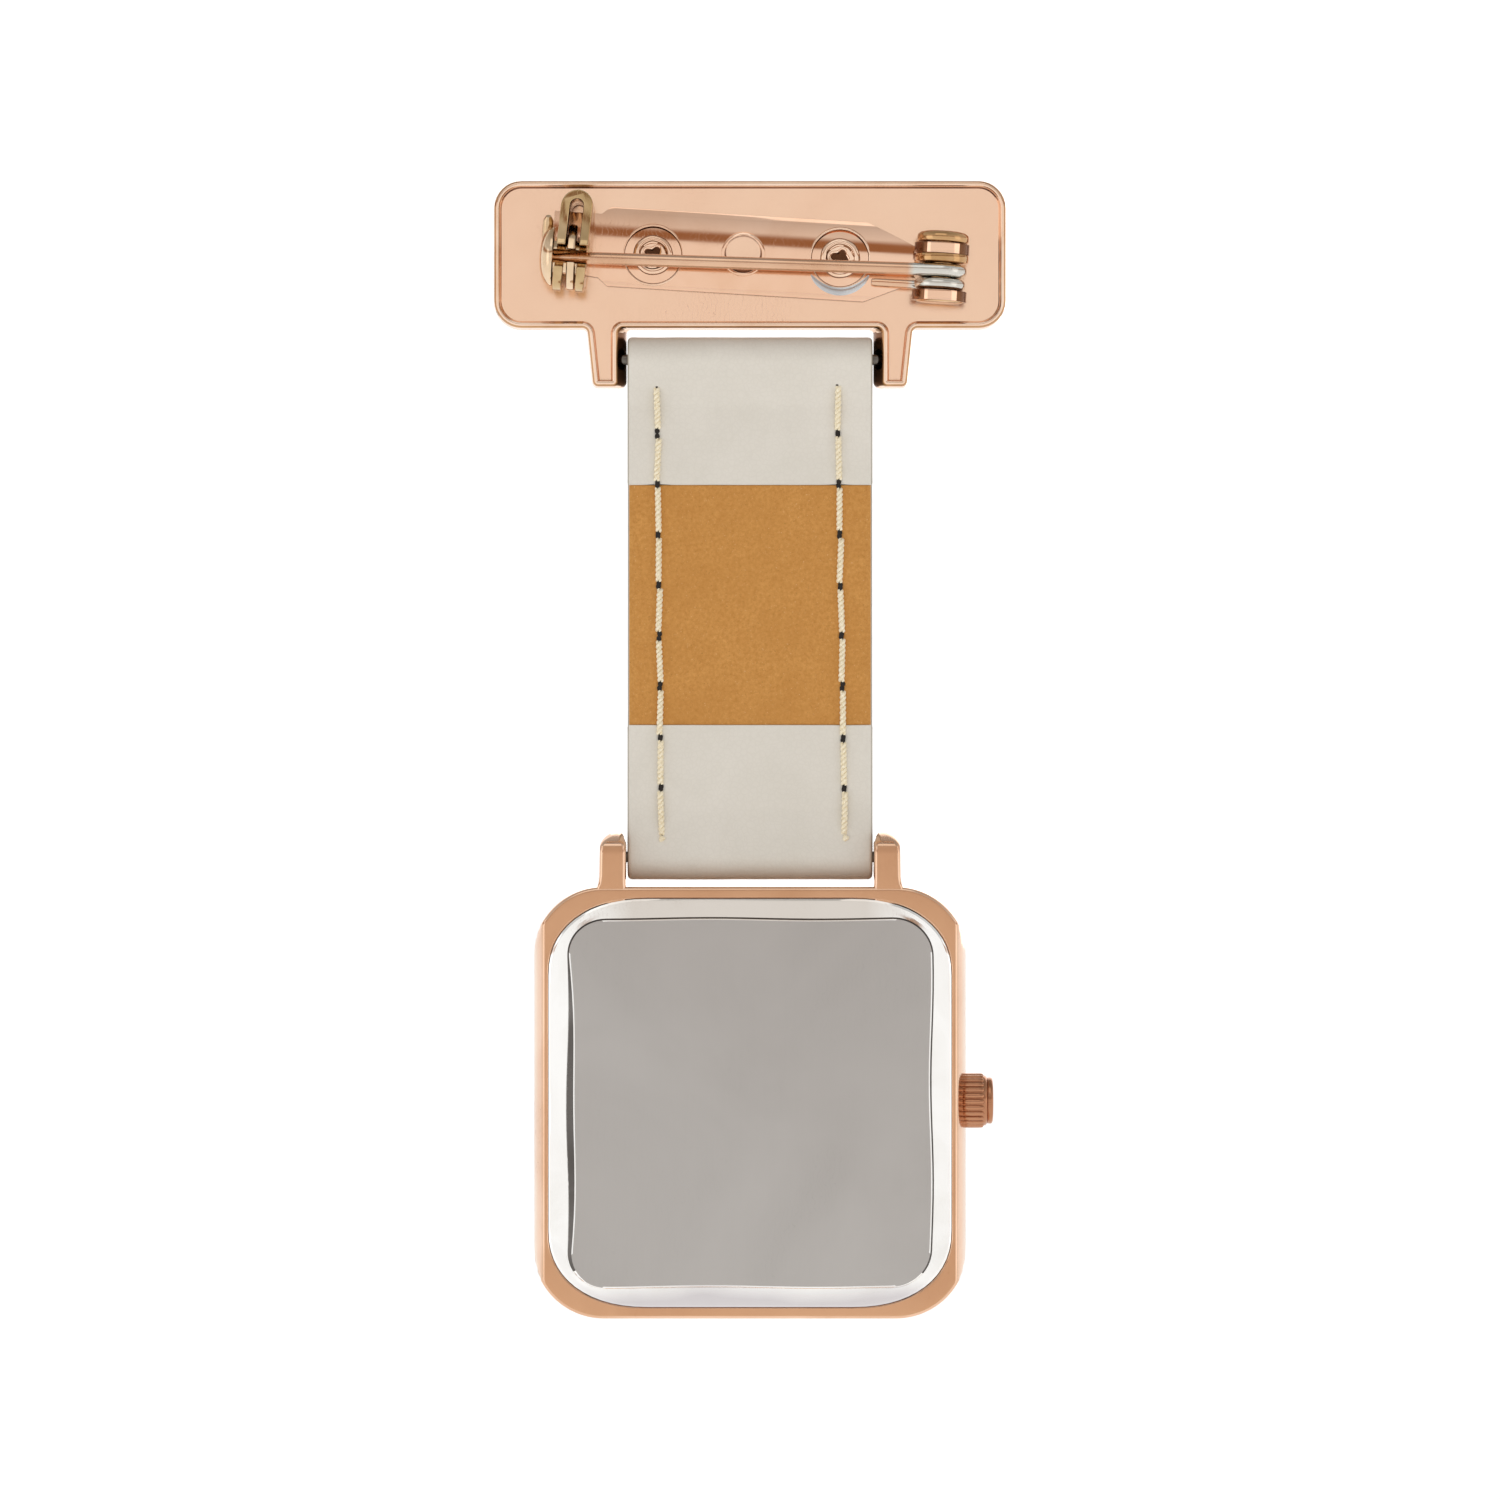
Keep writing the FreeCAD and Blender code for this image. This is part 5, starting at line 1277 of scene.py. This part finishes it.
def makeStitches():
    form = stitchForm()
    pit = [(0.03, 0.03), (0.14, 0.02), (0.2, 0.0), (0.19, -0.12), (0.05, -0.2)]
    lump = [(0.03, -0.16), (0.16, -0.13), (0.24, 0.0), (0.2, 0.14), (0.08, 0.22)]
    # The needle holes are shallow pits painted near black: painted shade for the dark inside them.
    needle = meshPiece("needleForm", *lathe(pit, (0, 0, 0), (0, 1, 0), 14), [needleHoleShade], 50.0)
    holes = []
    for side, name, node in ((1, "stitchesLeft", "strap_thread_left"),
                             (-1, "stitchesRight", "strap_thread_right")):
        backSpots, frontSpots = [], []
        for index, (low, high) in enumerate(rows[side]):
            z = (low + high) / 2
            yLow, yHigh = backSurface(low + 0.1), backSurface(high - 0.1)
            tilt = -math.atan2(yHigh - yLow, high - low - 0.2)
            lean = 0.035 * math.sin(index * 2.3 + side)
            size = (1.0, 1.0, (high - low) / strapLook["stitchLength"])
            backSpots.append(((rowX(side, z), (yLow + yHigh) / 2 - 0.03, z), (tilt, lean, 0.0), size))
            frontTilt, frontY = -tilt, 2 * strapLook["mid"] - backSurface(z)
            if onLining(z):
                frontTilt, frontY = 0.0, strapLook["front"]
            frontSpots.append(((rowX(side, z), frontY + 0.03, z), (frontTilt, lean, math.pi), size))
            for end in (low - 0.03, high + 0.03):
                holes.append(((rowX(side, end) + 0.04 * math.sin(end * 5), backSurface(end) - 0.045, end),
                              (0.0, 0.0, 0.0), (0.9, 1.0, 1.15)))
        backPiece = repeatForm(name, form, backSpots, creamThread, 0.02, 5 + side)
        frontPiece = repeatForm(name + "Front", form, frontSpots, creamThread, 0.02, 9 + side)
        end = rows[side][0][0]
        spot = (rowX(side, end) - 0.05, backSurface(end) + 0.02, end - 0.1)
        uneven = lathe(lump, spot, (0.3, 1, 0.4), 14, lambda i, a: 0.04 * math.sin(3 * a + i))
        knot = meshPiece("knot", *uneven, [creamThread], 50.0)
        place(joinMeshes(backPiece, [frontPiece, knot]), "strap", "thread", node)
    piece = repeatForm("needleHoles", needle, holes, needleHoleShade, 0.0, 7)
    place(piece, "strap", "leather")
    bpy.data.objects.remove(form)
    bpy.data.objects.remove(needle)


makeStrapShell()
makeLiningPatch()
makeStitches()
print("strap ready")


# Case
caseLook = {
    "halfW": 15.9, "halfH": 15.8, "corner": 5.2, "barrel": 0.75, "front": -7.9, "back": -0.9, "mid": -4.4,
    "openW": 12.75, "openH": 13.05, "openCorner": 3.9, "seatW": 14.78, "seatH": 14.98,
    "seatSpanX": 7.3, "seatSpanZ": 5.6, "seatPower": 2.25,  # the wide corners of the seat and the case back
}


def roundedLoop(w, h, r, steps=26):
    points = []
    for index, (sx, sz) in enumerate([(1, -1), (1, 1), (-1, 1), (-1, -1)]):
        for i in range(steps + 1):
            angle = math.radians(-90 + 90 * index + 90 * i / steps)
            points.append(Vector((sx * (w - r) + r * math.cos(angle), sz * (h - r) + r * math.sin(angle))))
    return points


def caseLoop(inset, y, clampX):
    look = caseLook
    ring = roundedLoop(look["halfW"] - inset, look["halfH"] - inset, max(look["corner"] - inset, 0.3))
    return [Vector((max(-clampX, min(clampX, p.x)), y, p.y + caseZ)) for p in ring]


def barrelHalf(y):
    # The sides swell a little towards the middle, and clip the corners flat near the back.
    look = caseLook
    share = (y - look["mid"]) / (look["back"] - look["mid"])
    return look["halfW"] - look["barrel"] * share * share


def lugLoops(side):
    look = caseLook
    apex = lowerZ + 1.9
    base = caseZ + look["halfH"] - 1.2
    # height, inner x, outer x, front y, back y, corner
    stations = [
        (base, 9.08, 11.25, -7.2, -0.95, 0.25), (lowerZ - 2.3, 9.08, 11.25, -7.15, -0.93, 0.25),
        (lowerZ - 1.9, 9.08, 11.1, -7.05, -0.9, 0.3), (lowerZ - 1.4, 9.08, 11.03, -6.9, -0.9, 0.3),
        (lowerZ + 0.2, 9.08, 11.0, -6.5, -0.9, 0.3), (lowerZ + 0.85, 9.09, 10.98, -6.3, -0.92, 0.35),
        (lowerZ + 1.05, 9.1, 10.93, -6.2, -1.02, 0.4), (lowerZ + 1.3, 9.2, 10.8, -6.05, -1.35, 0.45),
        (lowerZ + 1.55, 9.26, 10.58, -5.85, -1.8, 0.5), (lowerZ + 1.75, 9.36, 10.28, -5.6, -2.3, 0.44),
        (apex - 0.04, 9.52, 9.98, -5.3, -2.9, 0.22), (apex, 9.62, 9.84, -5.1, -3.3, 0.1),
    ]
    loops = []
    for z, x0, x1, y0, y1, r in stations:
        r = min(r, (x1 - x0) / 2 - 0.01)
        corners = [(x1 - r, y1 - r), (x0 + r, y1 - r), (x0 + r, y0 + r), (x1 - r, y0 + r)]
        ring = []
        for index, (cx, cy) in enumerate(corners):
            for i in range(7):
                angle = math.radians(90 * index + 90 * i / 6)
                ring.append(Vector((side * (cx + r * math.cos(angle)), cy + r * math.sin(angle), z)))
        loops.append(ring)
    return stackLoops(loops)


def makeCase():
    look = caseLook
    front, back = look["front"], look["back"]
    stations = [
        ("open", -6.85), ("open", front + 0.14), ("openEdge", front + 0.03),
        (0.34, front), (0.2, front + 0.02), (0.1, front + 0.09), (0.03, front + 0.2), (0.0, front + 0.42),
        (0.0, front + 1.2), (0.0, front + 2.2), (0.0, look["mid"]), (0.0, back - 2.2), (0.0, back - 1.2),
        (0.0, back - 0.42), (0.02, back - 0.24), (0.06, back - 0.13), (0.13, back - 0.05), (0.22, back - 0.01),
        (0.34, back), ("seatEdge", back), ("seat", back - 0.06), ("seat", back - 0.5), ("open", back - 0.5),
    ]
    grow = {"open": 0.0, "openEdge": 0.1, "seat": 0.0, "seatEdge": 0.05}
    loops = []
    for inset, y in stations:
        if inset not in grow:
            loops.append(caseLoop(inset, y, barrelHalf(y) - inset * 0.6))
            continue
        more = grow[inset]
        if inset.startswith("seat"):
            ring = superCorner(look["seatW"] + more, look["seatH"] + more, look["seatSpanX"], look["seatSpanZ"],
                               look["seatPower"], 26)
            ring = ring[-27:] + ring[:-27]  # starts in the same corner as the other loops
        else:
            ring = roundedLoop(look["openW"] + more, look["openH"] + more, look["openCorner"] + more)
        loops.append([Vector((p.x, y, p.y + caseZ)) for p in ring])
    points, faces = stackLoops(loops, False, False)
    size = len(loops[0])
    last = (len(loops) - 1) * size
    for j in range(size):
        k = (j + 1) % size
        faces.append((last + j, last + k, k, j))
    parts = [(points, faces)] + [lugLoops(side) for side in (1, -1)]
    points, faces = joinParts(parts)
    piece = meshPiece("caseShell", points, faces, [roseSatin, rosePolish], 40.0)
    outward(piece)
    for polygon in piece.data.polygons:
        polygon.material_index = 0 if abs(polygon.normal.y) > 0.93 else 1
    shadeSmooth(piece.data, 28.0)
    return place(piece, "case", "case_metal", "case_body")


backPlate = {
    "border": 1.45, "seat": -1.35, "rim": -0.9, "plateauSpanX": 2.8, "plateauSpanZ": 2.7, "plateauPower": 2.0,
    "wave": 0.09, "lift": 0.06, "spread": 0.42, "flatten": 0.8,
}


def superCorner(halfW, halfH, spanX, spanZ, power, steps=14):
    points = []
    for index, (sx, sz) in enumerate([(1, 1), (-1, 1), (-1, -1), (1, -1)]):
        quarter = []
        for i in range(steps + 1):
            angle = math.pi / 2 * i / steps
            dx = spanX * (1 - max(0.0, math.cos(angle)) ** (2 / power))
            dz = spanZ * (1 - max(0.0, math.sin(angle)) ** (2 / power))
            quarter.append(Vector((sx * (halfW - dx), sz * (halfH - dz))))
        if index % 2:
            quarter.reverse()
        points += quarter
    return points


def withSides(ring, steps=14, extra=16):
    # Adds points along the straight sides, so that the waves have something to bend.
    size = steps + 1
    points = []
    for quarter in range(4):
        points += ring[quarter * size:(quarter + 1) * size]
        last, after = ring[(quarter + 1) * size - 1], ring[((quarter + 1) * size) % len(ring)]
        points += [last.lerp(after, i / (extra + 1)) for i in range(1, extra + 1)]
    return points


def makeCaseBack():
    low, high = nodeBox("case_back")
    halfW, halfH = (high[0] - low[0]) / 2, (high[2] - low[2]) / 2
    midZ = (high[2] + low[2]) / 2
    look, rim, top = backPlate, backPlate["rim"], high[1]
    border = look["border"]
    # inset, height, share of the way from the seat's outline to the plateau's
    stations = [
        (0.02, look["seat"], 0), (0.0, rim - 0.12, 0), (0.03, rim - 0.02, 0), (0.10, rim + 0.03, 0),
        (0.18, rim + 0.06, 0.05), (0.6, rim + 0.19, 0.3), (1.05, rim + 0.32, 0.68),
        (border - 0.05, top - 0.14, 0.97), (border, top - 0.18, 1.0), (border + 0.03, top - 0.06, 1.0),
        (border + 0.07, top - 0.01, 1.0), (border + 0.16, top, 1.0),
    ]
    slope, step = (4, 5, 6), (8, 9)
    loops = []
    for index, (inset, y, share) in enumerate(stations):
        spanX = caseLook["seatSpanX"] * (1 - share) + look["plateauSpanX"] * share
        spanZ = caseLook["seatSpanZ"] * (1 - share) + look["plateauSpanZ"] * share
        power = caseLook["seatPower"] * (1 - share) + look["plateauPower"] * share
        ring = withSides(superCorner(halfW - inset, halfH - inset, spanX, spanZ, power))
        for i, p in enumerate(ring):
            phase = p.y * 0.42 + 0.9 + (0.8 if p.x > 0 else 0)
            wave = look["wave"] * share * math.sin(phase) * min(1, abs(p.x) / 13)
            lift = look["lift"] * share * math.sin(p.x * 0.4 + 0.4) * min(1, abs(p.y) / 13)
            # The step widens into a shallow slope down the long side away from the crown.
            spread = max(0.0, math.cos((p.y + 1.5) * math.pi / 25)) if index > step[0] and p.x > 12 else 0
            ring[i] = Vector((p.x + wave - look["spread"] * spread, p.y + lift))
        loops.append([Vector((p.x, y, p.y + midZ)) for p in ring])
    points, faces = stackLoops(loops, flip=True)
    piece = meshPiece("snapBack", points, faces, [backSatin, backPolishShade, stepShade], 40.0)
    outward(piece)
    for polygon in piece.data.polygons:
        centre = polygon.center / mm
        x, z = abs(centre.x) / halfW, (centre.z - midZ) / halfH
        onStep = polygon.index // len(loops[0]) in step and top - 0.19 < centre.y < top - 0.02
        clearOfFoot = z > (border + 1.2) / halfH - 1
        polygon.material_index = 0 if abs(polygon.normal.y) > 0.995 else 1
        if onStep and clearOfFoot and max(x, abs(z)) < 0.915:
            polygon.material_index = 2
    shadeSmooth(piece.data, 14.0)
    # The border is shaded flatter than it slopes, so its corners reflect the air evenly.
    normals = [tuple(c.vector) for c in piece.data.corner_normals]
    for polygon in piece.data.polygons:
        if polygon.index // len(loops[0]) in slope and len(polygon.vertices) == 4:
            for loop in polygon.loop_indices:
                flatter = Vector(normals[loop]).lerp(Vector((0, 1, 0)), look["flatten"])
                normals[loop] = tuple(flatter.normalized())
    piece.data.normals_split_custom_set(normals)
    return place(piece, "case", "back_steel", "case_back")


makeCase()
makeCaseBack()
place(softened("crystal", "faceCrystal", 0.05, [clearCrystal]), "case", "crystal_glass", "crystal")
print("case ready")


# Crown
crownLook = {"ribs": 26, "ribPlace": 1.84, "cap": 0.42}


def makeCrown():
    low, high = nodeBox("crown")
    axisY, axisZ = (low[1] + high[1]) / 2, (low[2] + high[2]) / 2
    face, end = high[0], low[0]
    capStart = end + crownLook["cap"]
    profile = [
        (1.3, face - 0.02), (1.6, face), (1.78, face - 0.06), (1.86, face - 0.2), (1.86, capStart + 0.22),
        (1.8, capStart + 0.08), (1.7, capStart + 0.02), (1.66, capStart), (1.70, capStart - 0.04),
        (1.71, end + 0.16), (1.66, end + 0.06), (1.52, end + 0.01), (1.2, end), (0.02, end),
    ]
    body = lathe([(r, -x) for r, x in profile], (0, axisY, axisZ), (-1, 0, 0), 84)
    piece = meshPiece("ribbedCrown", *body, [copperPlate], 50.0)
    outward(piece)
    long = face - capStart - 0.34
    path = [(long * t / 2, 0, 0) for t in (-1, -0.93, -0.8, -0.4, 0, 0.4, 0.8, 0.93, 1)]
    ribForm = meshPiece("ribForm", *sweep(path, [0.06, 0.15, 0.19, 0.2, 0.2, 0.2, 0.19, 0.15, 0.06], 14),
                        [copperPlate], 50.0)
    spots = []
    for i in range(crownLook["ribs"]):
        angle = 2 * math.pi * i / crownLook["ribs"]
        y = axisY + crownLook["ribPlace"] * math.cos(angle)
        z = axisZ + crownLook["ribPlace"] * math.sin(angle)
        spots.append((((face + capStart) / 2 + 0.1, y, z), (angle, 0.0, 0.0), (1.0, 0.85, 1.0)))
    ribs = repeatForm("crownRibs", ribForm, spots, copperPlate, 0.0, 2)
    bpy.data.objects.remove(ribForm)
    joinMeshes(piece, [ribs])
    shadeSmooth(piece.data, 50.0)
    return place(piece, "crown", "crown_metal", "crown")


makeCrown()
print("crown ready")


# Dial side
dialLook = {"track": 11.55, "tick": 0.34, "tickWidth": 0.07, "fiveWidth": 0.16}


def makeTrack():
    front = nodeBox("dial")[0][1]
    points = [(x, y, z) for x in (-0.5, 0.5) for y in (-0.012, 0.01) for z in (-0.5, 0.5)]
    faces = [(0, 1, 3, 2), (4, 6, 7, 5), (0, 4, 5, 1), (2, 3, 7, 6), (0, 2, 6, 4), (1, 5, 7, 3)]
    bar = meshPiece("bar", [Vector(p) for p in points], faces, [printGrey], 30.0)
    spots = []
    for i in range(60):
        angle = math.radians(6 * i)
        reach = dialLook["track"]
        five = i % 5 == 0
        width = dialLook["fiveWidth"] if five else dialLook["tickWidth"]
        length = dialLook["tick"] * (1.5 if five else 1.0)
        spots.append(((reach * math.sin(angle), front - 0.002, caseZ + reach * math.cos(angle)),
                      (0.0, angle, 0.0), (width, 1.0, length)))
    piece = repeatForm("minuteTrack", bar, spots, printGrey, 0.0, 1)
    bpy.data.objects.remove(bar)
    return place(piece, "case", "dial_paint")


makeTrack()
for node, name, body, width in (
    ("dial_indices", "hourBatons", "case", 0.05), ("hour_hand", "hourHand", "hour", 0.045),
    ("minute_hand", "minuteHand", "minute", 0.045), ("seconds_hand", "secondsHand", "seconds", 0.02),
):
    place(softened(node, name, width, [handGold]), body, "hand_metal", node)
print("dial side ready")


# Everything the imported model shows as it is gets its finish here.
finishFor = {
    "bar_steel": barSteel, "wire_steel": wireSteel, "gasket_rubber": blackSeal, "dial_paint": dialWhite,
    "hand_metal": handGold, "movement_plastic": spacerWhite, "movement_brass": stampedBrass,
    "movement_steel": plainSteel, "coil_copper": windingCopper, "board_green": boardGreen,
    "chip_black": chipBlack, "battery_steel": rivetSteel, "thread": creamThread, "leather": greyLeather,
    "lining": tanNubuck, "brooch_metal": roseMirror, "pin_steel": stripRose, "rivet_steel": rivetRose,
    "catch_brass": oliveBrass, "lock_steel": lockBrass, "case_metal": roseSatin, "back_steel": backSatin,
    "crystal_glass": clearCrystal, "crown_metal": copperPlate,
}
for part in record["subparts"]:
    data = cadNodes[part["node"]].data
    finish = finishFor[part["material_slot"]]
    if len(data.materials) == 0:
        data.materials.append(finish)
    for i in range(len(data.materials)):
        data.materials[i] = finish
print("carried-over nodes finished")


# Studio floor: a pale sheet that rises far in front of the watch's face
sheet = {"floor": -190.0, "wall": -1300.0, "near": 1300.0, "half": 1600.0, "top": 1500.0, "bend": 300.0}


def makeFloor():
    profile = [(sheet["near"], sheet["floor"]), (sheet["wall"] + sheet["bend"], sheet["floor"])]
    for i in range(1, 12):
        angle = math.pi / 2 * i / 12
        profile.append((sheet["wall"] + sheet["bend"] * (1 - math.sin(angle)),
                        sheet["floor"] + sheet["bend"] * (1 - math.cos(angle))))
    profile += [(sheet["wall"], sheet["floor"] + sheet["bend"]), (sheet["wall"], sheet["top"])]
    points, faces = [], []
    for y, z in profile:
        points += [(-sheet["half"], y, z), (sheet["half"], y, z)]
    for i in range(len(profile) - 1):
        a = 2 * i
        faces.append((a, a + 1, a + 3, a + 2))
    material, tree, shader, where = startMaterial("paleSheet", "#F4F3F1", 0.7)
    grain = remap(tree, noiseNode(tree, where, 40.0, 3.0), 0.3, 0.7)
    tree.links.new(mixColour(tree, grain, fromHex("#F6F5F3"), fromHex("#F2F1EF")), shader.inputs["Base Color"])
    shader.inputs["Emission Color"].default_value = (0.96, 0.98, 1, 1)
    shader.inputs["Emission Strength"].default_value = 0.4
    floor = meshPiece("studioSheet", points, faces, [material], 60.0)


makeFloor()
print("floor ready")
